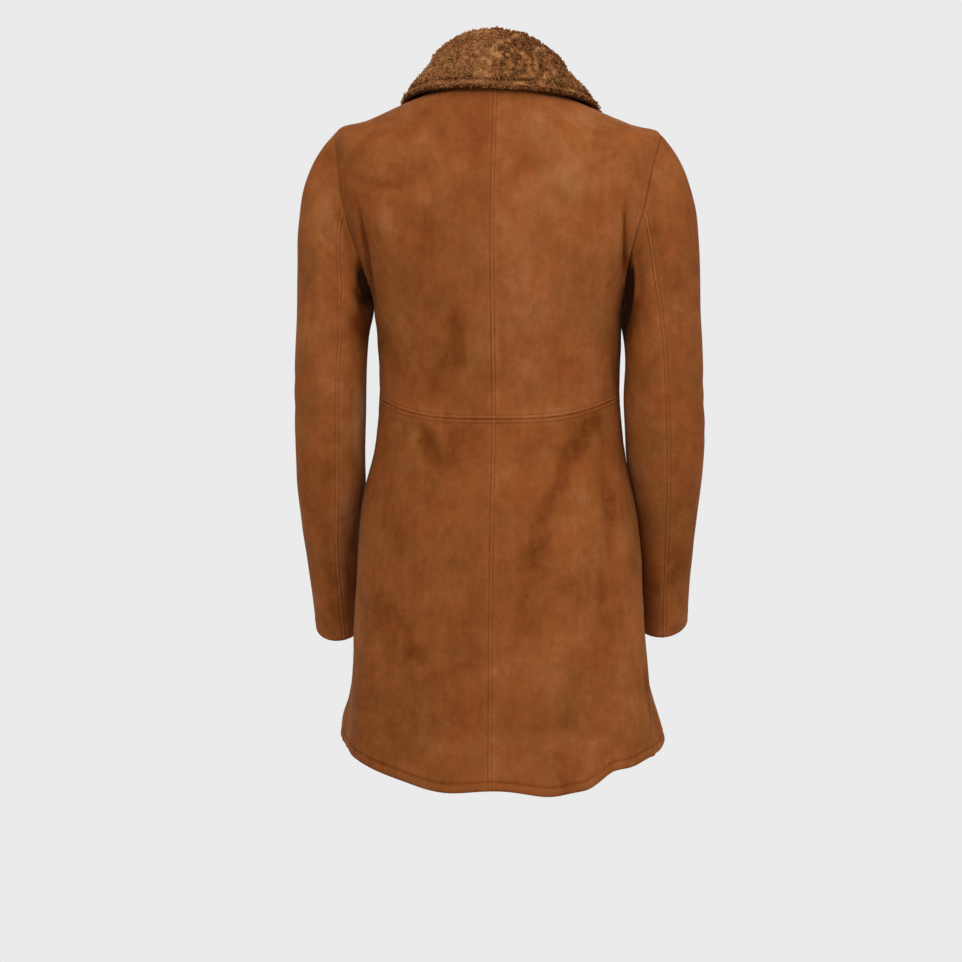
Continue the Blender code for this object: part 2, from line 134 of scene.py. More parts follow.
SLEEVE_SECTIONS = np.array(
    [
        # x, y, z, half_width, half_depth, forward_tilt
        (0.2015, 0.004, -0.287, 0.0450, 0.0620, 0.0),
        (0.2035, 0.004, -0.332, 0.0455, 0.0600, 1.0),
        (0.2045, 0.002, -0.377, 0.0453, 0.0572, 5.0),
        (0.2055, -0.005, -0.424, 0.0444, 0.0548, 11.0),
        (0.2065, -0.018, -0.470, 0.0420, 0.0527, 17.0),
        (0.2065, -0.036, -0.516, 0.0378, 0.0510, 20.5),
        (0.2055, -0.054, -0.560, 0.0340, 0.0497, 22.0),
        (0.2035, -0.072, -0.604, 0.0312, 0.0490, 22.5),
        (0.2015, -0.089, -0.646, 0.0300, 0.0487, 22.5),
        (0.2010, -0.093, -0.656, 0.0302, 0.0490, 22.5),  # cuff edge
    ]
)
CUFF = float(len(SLEEVE_SECTIONS))  # how far along the sleeve its edge is, counted in rings
CAP_OUTWARD = {"left": 0.70, "right": 0.56}
CAP_START, CAP_SWELL, CAP_HOLD, CAP_REACH = 0.10, 0.26, 0.30, 1.05
SLEEVE_FULLNESS = {"left": 0.975, "right": 1.045}
SLEEVE_ASIDE = {"left": 0.0020, "right": -0.0020}
SLEEVE_SWAY = 0.0030  # how far both forearms hang towards the wearer's left
SLEEVE_RISE = {"left": 0.0, "right": 0.0060}  # how much higher each cuff is held
ARMPIT, ELBOW, WRIST = -0.300, -0.430, -0.560  # levels down the sleeve
COLLAR_STATIONS = np.array(
    [
        # neck_angle, outward_angle, stand, edge_angle, edge_level
        (90.0, 90.0, 0.062, 90.0, -0.0100),
        (60.0, 62.0, 0.056, 56.0, -0.0115),
        (30.0, 33.0, 0.040, 20.0, -0.0200),
        (0.0, 2.0, 0.028, -14.0, -0.0360),
        (-30.0, -30.0, 0.021, -42.0, -0.0600),
        (-60.0, -58.0, 0.015, -64.0, -0.0960),
        (-88.0, -86.0, 0.010, -79.0, -0.1120),
    ]
)
WALL = 0.007  # skin and clipped wool together
SEAM_GAP = 0.0003
COLLAR_WALL, COLLAR_LIFT, FOLD_GAP = 0.009, 0.0022, 0.0034
FOLD_TURNS = (150.0, 120.0, 90.0, 60.0, 30.0)
EDGE_WALL_SHARE = 0.65
LEAF_FALL_POWER = 1.35
COLLAR_LEAF = (  # share of the way from the fold to the edge, and the bulge there
    (0.00, 0.0),
    (0.15, 0.0020),
    (0.30, 0.0036),
    (0.45, 0.0040),
    (0.60, 0.0032),
    (0.72, 0.0018),
    (0.83, -0.0008),
    (0.91, 0.0004),
    (1.00, 0.0),
)


def hermite(start, leaving, end, arriving, s):
    """A cubic Hermite curve at shares s of its way, from its two ends and its slopes there."""
    return (
        start * (1 + 2 * s) * (1 - s) ** 2
        + leaving * s * (1 - s) ** 2
        + end * s**2 * (3 - 2 * s)
        + arriving * s**2 * (s - 1)
    )


def smooth_columns(table, at):
    """Every later column of a table, read at values of the first one by cubic Hermite curves."""
    x, y = table[:, 0], table[:, 1:]
    slope = np.gradient(y, x, axis=0)
    at = np.clip(np.asarray(at, float), x[0], x[-1])
    row = np.clip(np.searchsorted(x, at, side="right") - 1, 0, len(x) - 2)
    step = x[row + 1] - x[row]
    s = ((at - x[row]) / step)[..., None]
    step = step[..., None]
    return hermite(y[row], slope[row] * step, y[row + 1], slope[row + 1] * step, s)


def eased(low, high, value):
    """Smoothly from 0 at low to 1 at high: 3s² - 2s³."""
    s = np.clip((value - low) / (high - low), 0.0, 1.0)
    return s * s * (3 - 2 * s)


def unit(vectors):
    """Vectors brought to a length of one."""
    return vectors / np.maximum(np.linalg.norm(vectors, axis=-1, keepdims=True), 1e-12)


def bell(away, spread):
    """One in the middle, falling away smoothly on both sides: exp(-(away / spread)²)."""
    return np.exp(-((away / spread) ** 2))


def run_along(grid, axis=0):
    """How far each point of a grid is from its first row, or with axis 1 its first column."""
    gaps = np.linalg.norm(np.diff(grid, axis=axis), axis=-1)
    start = np.zeros_like(np.take(gaps, [0], axis=axis))
    return np.concatenate([start, np.cumsum(gaps, axis=axis)], axis=axis)


def turned(angle):
    """An angle in degrees, brought to between -180 and 180."""
    return (angle + 180.0) % 360.0 - 180.0


def body_point(angle, level):
    """The body form: a superellipse x = a·cos^(2/n), y = b·sin^(2/n) at each girth line, whose height
    runs from the centre line's level to the side's by a power of x, plus the hem's drops and the
    skirt's folds."""
    angle, level = np.broadcast_arrays(np.asarray(angle, float), np.asarray(level, float))
    side_z, front_z, half_width, back_depth, front_depth, squareness = np.moveaxis(
        smooth_columns(BODY_SECTIONS, level), -1, 0
    )
    across, along = np.cos(np.radians(angle)), np.sin(np.radians(angle))
    x_share = np.sign(across) * np.abs(across) ** (2.0 / squareness)
    y_share = np.sign(along) * np.abs(along) ** (2.0 / squareness)
    depth = np.where(along >= 0, back_depth, front_depth)
    end_z = np.where(along >= 0, level, front_z)
    z = side_z + (end_z - side_z) * (1 - np.abs(x_share) ** SIDE_RISE_POWER)
    drop = sum(fall * bell(turned(angle - middle), spread) for middle, spread, fall in HEM_DROPS)
    z = z - drop * eased(HEM_DROP_TOP, HEM, level)
    z = z + SHOULDER_LEAN * x_share * eased(UNDERARM, SHOULDER, level)
    fold = sum(
        rise * bell(turned(angle - middle), spread) * eased(top, full, level)
        for middle, spread, rise, top, full in BODY_FOLDS
    )
    outward = unit(np.stack([x_share / half_width, y_share / depth, 0 * z], axis=-1))
    return np.stack([half_width * x_share, depth * y_share, z], axis=-1) + fold[..., None] * outward


def body_normal(angle, level):
    """The outward unit normal of the body form: across the change round it and the change up it."""
    turn, rise = 0.5, 0.002
    low, high = np.clip(level - rise, HEM, NECK), np.clip(level + rise, HEM, NECK)
    round_it = body_point(angle + turn, level) - body_point(angle - turn, level)
    return unit(np.cross(round_it, body_point(angle, high) - body_point(angle, low)))


def armhole(turn, side):
    """(angle, level) of an armhole, an oval: 0 degrees is the shoulder, 90 behind, 180 underarm."""
    turn = np.radians(np.asarray(turn, float))
    level = (SHOULDER + UNDERARM) / 2 + (SHOULDER - UNDERARM) / 2 * np.cos(turn)
    spread = np.where(np.sin(turn) >= 0, ARMHOLE_BACK_SPREAD[side], ARMHOLE_FRONT_SPREAD)
    return spread * np.sin(turn), level


def on_side(angle, side):
    """An angle of the left half, carried to the same place of the half asked for."""
    return angle if side == "left" else 180.0 - angle


def front_edge_angle(level):
    """Angle from the side line at which a girth line comes in to the front edge's half opening."""
    _, _, half_width, _, _, squareness = np.moveaxis(smooth_columns(BODY_SECTIONS, level), -1, 0)
    opening = smooth_columns(FRONT_EDGE, level)[..., 0]
    return -np.degrees(np.arccos(np.clip(opening / half_width, 0, 1) ** (squareness / 2)))


def sleeve_rings(turn, side):
    """The sleeve's rings: tilted ellipses. Turn 0 is outermost, 90 behind, 180 next to the body."""
    across, along = np.cos(np.radians(turn)), np.sin(np.radians(turn))
    rings = []
    for x, y, z, half_width, half_depth, tilt in SLEEVE_SECTIONS:
        slope = math.radians(tilt)
        sway = SLEEVE_SWAY * eased(ELBOW, WRIST, z) * (1 if side == "left" else -1)
        rise = SLEEVE_RISE[side] * eased(ARMPIT, WRIST, z)
        ring_x = x + SLEEVE_ASIDE[side] + sway + half_width * SLEEVE_FULLNESS[side] * across
        ring_y = y + half_depth * along * math.cos(slope)
        ring_z = z + rise - half_depth * along * math.sin(slope)
        rings.append(np.stack([ring_x if side == "left" else -ring_x, ring_y, ring_z], axis=-1))
    return np.stack(rings)


def sleeve_point(turn, along, side):
    """The sleeve: a Hermite sweep from the armhole (along 0) to the first ring (1), then through each
    ring."""
    turn, along = np.broadcast_arrays(np.asarray(turn, float), np.asarray(along, float))
    angle, level = armhole(turn, side)
    start = body_point(on_side(angle, side), level)
    rings = sleeve_rings(turn, side)
    upward = (1 + np.cos(np.radians(turn))) / 2
    outward = 1.0 if side == "left" else -1.0
    leaving = np.stack(
        [
            outward * (CAP_START + CAP_OUTWARD[side] * upward),
            CAP_SWELL * np.sin(np.radians(turn)),
            CAP_HOLD * upward - 1.0,
        ],
        axis=-1,
    )
    reach = CAP_REACH * np.linalg.norm(rings[0] - start, axis=-1, keepdims=True)
    s = np.clip(along, 0, 1)[..., None]
    cap = hermite(start, unit(leaving) * reach, rings[0], unit(rings[1] - rings[0]) * reach, s)
    further = np.clip(along - 1, 0, len(SLEEVE_SECTIONS) - 1)
    row = np.clip(further.astype(int), 0, len(SLEEVE_SECTIONS) - 2)
    share = (further - row)[..., None]
    slopes = np.gradient(rings, axis=0)

    def at(values, index):
        return np.take_along_axis(values, index[None, ..., None], 0)[0]

    upper, lower = ((at(rings, ring), at(slopes, ring)) for ring in (row, row + 1))
    tube = hermite(*upper, *lower, share)
    return np.where(along[..., None] <= 1, cap, tube)


def back_seam_turn(along, side):
    """Degrees round the sleeve at which its back seam runs."""
    return smooth_columns(np.array(SLEEVE_BACK_SEAM[side]), along)[..., 0]


def front_seam_turn(along, side):
    """Degrees round the sleeve at which its front seam runs, the same all the way."""
    return SLEEVE_FRONT_SEAM + 0.0 * np.asarray(along, float)


def sleeve_normal(turn, along, side):
    """The outward unit normal of a sleeve: across the change round it and the change up it."""
    step, reach = 2.0, 0.02
    round_it = sleeve_point(turn + step, along, side) - sleeve_point(turn - step, along, side)
    top, end = np.clip(along - reach, 0, None), np.clip(along + reach, None, CUFF)
    up_it = sleeve_point(turn, top, side) - sleeve_point(turn, end, side)
    return unit(np.cross(round_it, up_it)) * (1.0 if side == "left" else -1.0)


def collar_half(stations, side):
    """The collar's wool face and skin face, a column for each station from the centre back: up the
    stand, round the fold by an arc and down the leaf, which falls to the coat by a power of the way
    to the edge."""
    index = np.arange(len(COLLAR_STATIONS), dtype=float)
    neck_angle, outward, stand, edge_angle, edge_level = np.moveaxis(
        smooth_columns(np.column_stack([index, COLLAR_STATIONS]), stations), -1, 0
    )
    forwards = 1.0 if side == "left" else -1.0
    root_angle = on_side(neck_angle, side)
    root, root_normal = body_point(root_angle, NECK), body_normal(root_angle, NECK)
    ahead, behind = root_angle - 0.5 * forwards, root_angle + 0.5 * forwards
    along = unit(body_point(ahead, NECK) - body_point(behind, NECK))
    leaning = np.radians(on_side(outward, side))
    away = np.stack([np.cos(leaning), np.sin(leaning), 0 * leaning], axis=-1)
    away = unit(away - (away * along).sum(-1, keepdims=True) * along)
    upward = unit(np.cross(along, away)) * forwards
    leaf = FOLD_GAP + COLLAR_WALL

    def place(out, up):
        out, up = (np.broadcast_to(value, stand.shape)[:, None] for value in (out, up))
        return root + away * out + upward * up

    def lying(share, height, start_out):
        angle = on_side(neck_angle + (edge_angle - neck_angle) * share, side)
        level = NECK + (edge_level - NECK) * share
        drawn = (place(start_out, stand) - root - root_normal * height) * (1 - share) ** LEAF_FALL_POWER
        return body_point(angle, level) + body_normal(angle, level) * height + drawn

    wool = [place(-WALL, SEAM_GAP), place(-WALL, stand / 2), place(-WALL, stand)]
    skin = [place(0.0, SEAM_GAP), place(0.0, stand / 2), place(0.0, stand)]
    radius = (leaf + WALL) / 2
    for turn in FOLD_TURNS:
        across, rise = math.cos(math.radians(turn)), math.sin(math.radians(turn))
        wool.append(place((leaf - WALL) / 2 + radius * across, stand + radius * rise))
        skin.append(place(FOLD_GAP / 2 * (1 + across), stand + FOLD_GAP / 2 * rise))
    for share, bulge in COLLAR_LEAF:
        wool.append(lying(share, COLLAR_LIFT + COLLAR_WALL + bulge, leaf))
        skin.append(lying(share, COLLAR_LIFT, FOLD_GAP))
    wool[-1] = lying(1.0, COLLAR_LIFT + COLLAR_WALL * EDGE_WALL_SHARE, leaf)
    return np.stack(wool), np.stack(skin)


# ---- what hangs and where: seams, creases, and patches of nap and of painted shade and light -----
# Each kind of seam is a sum of soft bells across it: height, distance from the seam and half spread,
# in millimetres.
SEAM_BELLS = {
    "ridged": ((0.95, 0.0, 1.25), (-0.36, 2.2, 0.60), (0.26, 4.4, 1.8)),
    "opened": ((-0.75, 0.0, 0.75), (0.80, 2.4, 1.4), (-0.14, 5.0, 0.8), (0.26, 7.5, 2.5)),
    "set_in": ((0.42, 2.7, 1.4),),
    "turned": ((0.30, 6.5, 4.0), (-0.55, 11.0, 0.75), (0.35, 13.5, 2.2)),
}
STITCHED_AT = {"ridged": 2.1 * MM, "opened": 5.0 * MM, "set_in": 4.8 * MM, "turned": 11.0 * MM}

# Soft creases, by the part of the coat and the side it is seen from: two ends across and up, half
# width, height (below zero for a trough) and how far the middle bows sideways, in millimetres.
CREASES = {
    ("body", "back"): (
        (180, -110, 112, -121, 7.5, -1.7, 4),
        (178, -122, 98, -137, 8, 1.9, 4),
        (167.5, -140, 156, -212, 5.5, -3.8, 1),
        (157, -198, 151, -262, 4.5, -3.4, 1),
        (134, -128, 122, -222, 10, 2.6, 3),
        (112, -140, 104, -205, 9, -1.3, 2),
        (-158.5, -132, -156.2, -232, 4.8, -4.8, -2),
        (-152, -150, -150, -225, 6, 1.7, 0),
        (-139, -118, -133, -225, 10, 2.6, -3),
        (-118, -128, -108, -190, 10, -1.2, 2),
        (-165, -82, -110, -112, 9, -1.1, 3),
        (-90, -65, -150, -78, 8, 1.1, 2),
        (100, -62, 160, -74, 8, 1, 2),
        (128, -290, 121, -372, 8, -1.3, 3),
        (58, -275, 34, -352, 15, -1.4, 4),
        (90, -322, 72, -388, 11, 1.2, 3),
        (-112, -280, -124, -372, 10, 1.2, 3),
        (-80, -300, -94, -385, 10, -1, 3),
        (89, -400, 66, -452, 7, -3.4, 3),
        (101, -408, 88, -466, 8, 1.7, 3),
        (52, -405, 40, -470, 9, -1.3, 3),
        (-118, -398, -70, -512, 12, -3, 6),
        (-132, -412, -96, -520, 11, 1.8, 5),
        (-58, -480, -52, -590, 13, -1.7, 4),
        (-134, -455, -139, -566, 5, -2.6, 2),
        (-146, -445, -152, -560, 5, 1.8, 2),
        (-131, -560, -134, -682, 6, -2.1, 2),
        (-119, -545, -121, -700, 9, 1.4, 2),
        (78, -500, 85, -640, 15, 1.4, 4),
        (112, -520, 122, -700, 14, -1.6, 4),
        (26, -560, 28, -720, 15, -1.2, 3),
        (-22, -600, -20, -760, 16, 1.2, 3),
        (-86, -700, -92, -800, 12, -1.4, 3),
        (140, -690, 146, -752, 10, -1.4, 3),
    ),
    ("body", "left"): (
        (-60, -274, 70, -274, 15, 2.3, 0),
        (30, -300, 10, -372, 8, -1.6, 3),
        (-30, -292, -12, -378, 9, 1.4, 3),
        (42, -410, 52, -520, 10, -1.8, 4),
        (-40, -405, -52, -500, 9, -1.6, 4),
        (4, -430, 2, -600, 13, 1.6, 4),
        (-60, -560, -66, -730, 13, -1.8, 4),
        (-75, -490, 50, -490, 36, 2.2, 0),
    ),
    ("body", "right"): (
        (34, -305, 14, -375, 8, -1.6, 3),
        (-26, -290, -10, -372, 9, 1.4, 3),
        (50, -405, 60, -505, 10, -2, 4),
        (-44, -408, -50, -520, 9, -1.6, 4),
        (6, -440, 0, -590, 13, 1.6, 4),
        (-70, -545, -74, -720, 13, -1.8, 4),
    ),
    ("body", "front"): (
        (160, -150, 146, -226, 9, -3.4, 4),
        (138, -150, 116, -232, 10, 2.2, 3),
        (-162, -146, -150, -222, 9, -3.4, -4),
        (-136, -144, -120, -230, 10, 2.2, -3),
        (128, -255, 70, -300, 10, -1.6, 4),
        (-124, -258, -64, -310, 10, -1.6, 4),
        (20, -330, 82, -372, 9, -1.4, 3),
        (-16, -322, -86, -366, 9, -1.4, 3),
        (30, -372, 102, -402, 9, -1.8, 3),
        (-28, -378, -98, -398, 9, -1.7, 3),
        (92, -410, 104, -540, 12, -2.2, 4),
        (-90, -415, -106, -552, 12, -2.2, 4),
        (52, -440, 56, -640, 15, 1.8, 4),
        (-50, -435, -54, -650, 15, 1.8, 4),
        (24, -520, 30, -740, 12, -1.6, 3),
        (-26, -540, -32, -752, 12, -1.6, 3),
    ),
    ("sleeve_left", "back"): (
        (166.5, -212, 156, -295, 5.5, -6.5, 0),
        (205, -150, 188, -226, 8, -2, 4),
        (222, -178, 190, -252, 9, 1.8, 4),
        (228, -205, 194, -236, 7, -1.6, 4),
        (172, -240, 157, -262, 4.5, -2.6, 2),
        (228, -372, 194, -381, 6, -1.4, 2),
        (216, -386, 170, -399, 5.5, -1.6, 2),
        (200, -402, 162, -412, 6, 1.4, 2),
        (220, -432, 178, -420, 6, -1.5, 2),
        (216, -560, 206, -640, 6, -1.6, 2),
        (185, -565, 183, -640, 4.5, -2, 1),
    ),
    ("sleeve_left", "right"): (
        (-50, -274, 60, -274, 18, 3.7, 0),
        (-80, -490, 45, -490, 36, 3, 0),
    ),
    ("sleeve_right", "back"): (
        (-161.5, -212, -157, -295, 5, -6.5, 0),
        (-212, -140, -190, -215, 8, -1.8, -4),
        (-226, -165, -198, -246, 10, 1.6, -4),
        (-168, -205, -172, -262, 5, -2.6, -2),
        (-204, -268, -224, -296, 7, -1.3, 3),
        (-212, -285, -226, -312, 7, 1.2, 3),
        (-226, -378, -190, -388, 6.5, -1.6, 2),
        (-214, -398, -170, -410, 6, -1.7, 2),
        (-222, -426, -184, -436, 6, -1.2, 2),
        (-212, -570, -206, -642, 6, -1.6, 2),
    ),
    ("sleeve_right", "left"): (
        (-50, -280, 60, -280, 22, 3.6, 0),
        (-70, -380, 45, -380, 34, 3.4, 0),
        (-80, -446, 45, -446, 35, 3.7, 0),
    ),
    ("sleeve_left", "front"): (
        (236, -352, 172, -368, 7, -3, 3),
        (230, -378, 174, -386, 7, 2.2, 3),
        (238, -402, 170, -404, 6.5, -3.4, 3),
        (226, -428, 176, -438, 7, -2.4, 2),
        (216, -132, 186, -214, 9, -2.6, 4),
    ),
    ("sleeve_left", "left"): (
        (30, -340, -46, -382, 9, -0.8, 4),
        (20, -380, -50, -402, 8, -1, 3),
        (10, -420, -56, -430, 9, -0.7, 3),
        (30, -120, 36, -220, 12, -1.4, 3),
        (-34, -130, -44, -230, 12, -1.6, 3),
    ),
    ("sleeve_right", "front"): (
        (-238, -346, -172, -362, 7, -3, 3),
        (-230, -372, -172, -382, 7, 2.2, 3),
        (-240, -394, -170, -400, 6.5, -3.4, 3),
        (-228, -424, -176, -430, 7, -2.4, 2),
        (-214, -130, -188, -218, 9, -2.6, -4),
    ),
    ("sleeve_right", "right"): (
        (32, -336, -44, -376, 9, -0.8, 4),
        (16, -376, -52, -398, 8, -1, 3),
        (12, -412, -54, -426, 9, -0.7, 3),
        (32, -124, 38, -226, 12, -1.4, 3),
        (-32, -128, -42, -236, 12, -1.6, 3),
    ),
}

# Patches where the nap lies darker (below zero) or lighter, and patches of painted shade and painted
# light where folds, armpits and the sleeves' inner sides fall in shade, by part and side: middle across
# and up, half width and half height in millimetres, lean in degrees and strength.
NAP_AND_SHADE_PATCHES = {
    ("body", "back"): (
        (45, -315, 16, 32, 10, -0.75),
        (58, -355, 16, 22, 25, -0.45),
        (88, -365, 24, 22, 20, -0.35),
        (130, -305, 9, 14, 0, -0.7),
        (122, -335, 10, 24, 0, -0.4),
        (22, -150, 18, 60, 0, -0.2),
        (80, -215, 30, 30, 0, 0.12),
        # painted highlight on a wrinkle of the upper back at the left, and painted shade along its edge
        (140, -105, 18, 11, 0, 0.4),
        (125, -122, 28, 6, -8, -0.45),
        (125, -175, 14, 26, 4, 0.15),
        (60, -45, 40, 12, 0, -0.2),
        (112, -62, 16, 12, 0, -0.25),
        (30, -100, 12, 40, 0, -0.15),
        (-98, -85, 28, 55, 5, 0.5),
        (-40, -220, 32, 130, 0, 0.12),
        (-128, -64, 10, 14, 0, -0.55),
        (-150, -135, 14, 18, 20, -0.35),
        (-165, -72, 18, 18, 0, 0.2),
        (-137, -330, 10, 60, 0, -0.3),
        (-60, -290, 30, 30, 0, 0.1),
        (78, -432, 14, 28, -28, -0.95),
        (45, -430, 22, 26, 0, -0.5),
        (105, -400, 20, 10, 0, -0.35),
        (52, -515, 24, 30, 0, -0.25),
        (118, -520, 15, 45, 0, -0.5),
        (150, -480, 10, 30, 0, -0.4),
        (110, -570, 22, 11, 0, 0.28),
        (89, -677, 10, 68, -32, -0.6),
        (128, -650, 11, 55, -8, -0.45),
        (122, -745, 20, 22, 0, -0.35),
        (65, -630, 16, 30, -30, 0.15),
        (-110, -420, 11, 46, 22, -0.8),
        (-86, -450, 10, 40, 14, -0.5),
        (-60, -530, 15, 50, 18, -0.6),
        (-46, -615, 22, 60, 4, -0.5),
        (-58, -665, 15, 24, 0, -0.3),
        (-140, -520, 6, 55, 0, -0.5),
        (-128, -600, 7, 50, 0, -0.28),
        (-95, -550, 18, 40, 0, 0.28),
        (-20, -470, 15, 50, 0, 0.2),
        (-105, -700, 20, 40, 0, 0.2),
        (-90, -785, 45, 15, 8, 0.5),
        (-30, -812, 30, 11, 0, 0.5),
        (60, -800, 60, 11, -14, 0.28),
        (-150, -700, 10, 50, 0, 0.4),
        (-170, -745, 8, 22, 0, 0.3),
        (-122, -768, 20, 10, 0, -0.3),
        # painted shade in the folds of the back beside both armpits
        (157.5, -200, 5, 44, -9, -1.5),
        (-156.8, -185, 4.2, 36, 0, -1.8),
        (-155, -210, 5.6, 18, 0, -0.9),
        # painted shade where the right hem corner turns away, and painted highlight on the fold's ridge
        # beside it
        (-190, -752, 7, 42, -14, -1.3),
        (-180, -735, 3.5, 36, -8, 0.7),
    ),
    ("body", "front"): (
        (90, -200, 34, 50, 10, 0.35),
        (-70, -230, 34, 50, -10, -0.45),
        (50, -320, 30, 40, 0, -0.5),
        (-100, -350, 24, 50, 0, 0.3),
        (100, -470, 24, 60, -12, -0.6),
        (-50, -500, 34, 60, 10, 0.35),
        (-110, -600, 24, 60, 0, -0.45),
        (60, -640, 40, 50, 0, 0.3),
        (120, -700, 24, 40, 0, -0.35),
        (-60, -740, 40, 30, 0, 0.25),
    ),
    ("body", "left"): (
        (0, -450, 30, 70, 0, -0.5),
        (40, -640, 30, 60, 0, 0.3),
        (-50, -600, 30, 60, 0, -0.3),
    ),
    ("body", "right"): (
        (10, -460, 30, 70, 0, -0.45),
        (50, -640, 30, 60, 0, 0.3),
        (-50, -620, 30, 60, 0, -0.3),
    ),
    ("sleeve_left", "back"): (
        (215, -130, 20, 35, 0, 0.35),
        (186, -165, 7, 28, -22, -0.6),
        (203.5, -190, 4, 24, -38, 0.6),
        (213, -207, 4, 18, -38, -0.35),
        (192, -210, 5, 16, -30, -0.35),
        (214, -260, 12, 40, 0, 0.22),
        (160, -325, 6, 12, 0, -0.7),
        (205, -395, 14, 22, 0, 0.12),
        (205, -500, 20, 50, 0, -0.3),
        (193, -600, 7, 12, 0, 0.6),
        (205, -588, 10, 18, 0, -0.35),
        # painted deep shadow in the left armpit, between the sleeve and the body
        (165, -219, 4, 15, -14, -2.6),
        (159, -237, 4.2, 20, -14, -2.6),
        (154.8, -262, 4.6, 26, -6, -2.8),
        (153.5, -290, 4.8, 30, 0, -2.6),
        (154, -318, 4.6, 26, 2, -1.8),
        # painted light on the sleeve's inner side where it falls in shade, then painted shadow along
        # its inner edge beside the skirt
        (168, -410, 6, 60, 0, 1),
        (190, -545, 11, 70, 6, 1),
        (174, -550, 4.2, 70, 6, -2.2),
    ),
    ("sleeve_right", "back"): (
        (-212, -100, 20, 30, 0, 0.4),
        (-193, -175, 8, 15, 0, -0.5),
        (-215, -220, 16, 40, 0, -0.25),
        (-219, -269, 4, 14, -63, 0.5),
        (-193, -332, 6, 14, 0, -0.45),
        (-205, -450, 18, 50, 0, -0.15),
        (-212, -560, 12, 50, 0, -0.25),
        (-209, -617, 7, 18, 0, 0.5),
        (-190, -600, 6, 20, 0, -0.35),
        # painted deep shadow in the right armpit, between the sleeve and the body, and in the fold
        # above it
        (-160, -220, 4.6, 13, 0, -2.4),
        (-158.2, -240, 4.4, 22, 2, -2.6),
        (-155.6, -266, 4.4, 28, 4, -2.8),
        (-153.2, -295, 4.4, 28, 4, -2.4),
        (-152.5, -322, 4.2, 26, 0, -1.6),
        (-160, -203, 5.2, 13, 0, -1.7),
        (-170, -203.5, 3.6, 10, 60, -1.2),
    ),
    ("sleeve_left", "right"): (
        # painted shade on the sleeve's inner side in the armpit, and painted light on it lower down,
        # where it falls in shade
        (10, -270, 45, 45, 0, -2.4),
        (0, -415, 30, 55, 0, 1.2),
    ),
    ("sleeve_right", "left"): (
        # painted shade on the sleeve's inner side in the armpit
        (10, -272, 45, 45, 0, -2.4),
    ),
}

FIRM_PATCH, FIRM_PATCH_FADE = 6.2 * MM, 4.0 * MM  # patches this narrow aren't made ragged

# Sides a part is seen from: the axis across it, the axis it faces along, and which way.
FACING = {"back": (0, 1, 1.0), "front": (0, 1, -1.0), "left": (1, 0, 1.0), "right": (1, 0, -1.0)}


def soft_noise(points, size, seed):
    """Smooth noise between -1 and 1 at points: values on a lattice of the given size, eased between."""
    lattice = np.random.default_rng(seed).uniform(-1.0, 1.0, (32, 32, 32))
    scaled = points / size + 100.0
    cell = np.floor(scaled).astype(int)
    s = scaled - cell
    s = s * s * (3 - 2 * s)
    value = 0.0
    for corner in np.ndindex(2, 2, 2):
        weight = np.prod(np.where(np.array(corner) == 1, s, 1 - s), axis=-1)
        x, y, z = np.moveaxis((cell + np.array(corner)) % 32, -1, 0)
        value = value + weight * lattice[x, y, z]
    return value


def layered(points, *layers):
    """A sum of soft noises, each given as (height, size, seed)."""
    return sum(height * soft_noise(points, size, seed) for height, size, seed in layers)


def on_part(table, part, normals):
    """For each side that a part has rows for: the axis across, how far points face it, the rows."""
    for (whose, facing), rows in table.items():
        if whose == part:
            across, out, sign = FACING[facing]
            yield across, eased(0.05, 0.45, sign * normals[..., out]), rows


def from_line(points, line):
    """Distance of each point from a line of points, and how far along it the nearest place lies."""
    shape = points.shape[:-1]
    points = points.reshape(-1, 3)
    run = run_along(line)
    apart = (points**2).sum(1)[:, None] + (line**2).sum(1)[None] - 2 * points @ line.T
    nearest = apart.argmin(axis=1)
    best, place = np.full(len(points), np.inf), np.zeros(len(points))
    for first in (np.clip(nearest - 1, 0, len(line) - 2), np.clip(nearest, 0, len(line) - 2)):
        start, way = line[first], line[first + 1] - line[first]
        length = np.maximum((way**2).sum(1), 1e-18)
        share = np.clip(((points - start) * way).sum(1) / length, 0, 1)
        away = np.linalg.norm(points - start - way * share[:, None], axis=1)
        closer = away < best
        best = np.where(closer, away, best)
        place = np.where(closer, run[first] + share * np.sqrt(length), place)
    return best.reshape(shape), place.reshape(shape)


def seam_relief(away, run, kind, seed):
    """Height across a seam: the sum of its bells, uneven along it, and puckers beside the stitches."""
    marks = np.stack([run, 0 * run, 0 * run], axis=-1)
    uneven = 1.0 + layered(marks, (0.28, 0.016, seed), (0.16, 0.005, seed + 1))
    height = sum(rise * bell(away - at * MM, spread * MM) for rise, at, spread in SEAM_BELLS[kind]) * MM
    pucker = soft_noise(marks, 0.0085, seed + 2) * bell(away - STITCHED_AT[kind] - 2.5 * MM, 3.2 * MM)
    return height * uneven + 0.00030 * pucker


def crease_relief(points, normals, part, strength):
    """Height of the soft creases: a bell across each one's bowed line, eased in and out along it."""
    height = np.zeros(points.shape[:-1])
    for across, seen, rows in on_part(CREASES, part, normals):
        for u0, v0, u1, v1, half_width, rise, bow in MM * np.array(rows):
            u, v = points[..., across] - u0, points[..., 2] - v0
            length = math.hypot(u1 - u0, v1 - v0)
            way = ((u1 - u0) / length, (v1 - v0) / length)
            along = (u * way[0] + v * way[1]) / length
            beside = v * way[0] - u * way[1] - bow * np.sin(np.pi * np.clip(along, 0, 1))
            fade = eased(-0.12, 0.30, along) * eased(1.12, 0.70, along)
            height += rise * bell(beside, half_width * (0.8 + 0.4 * along)) * fade * seen
    return height * strength


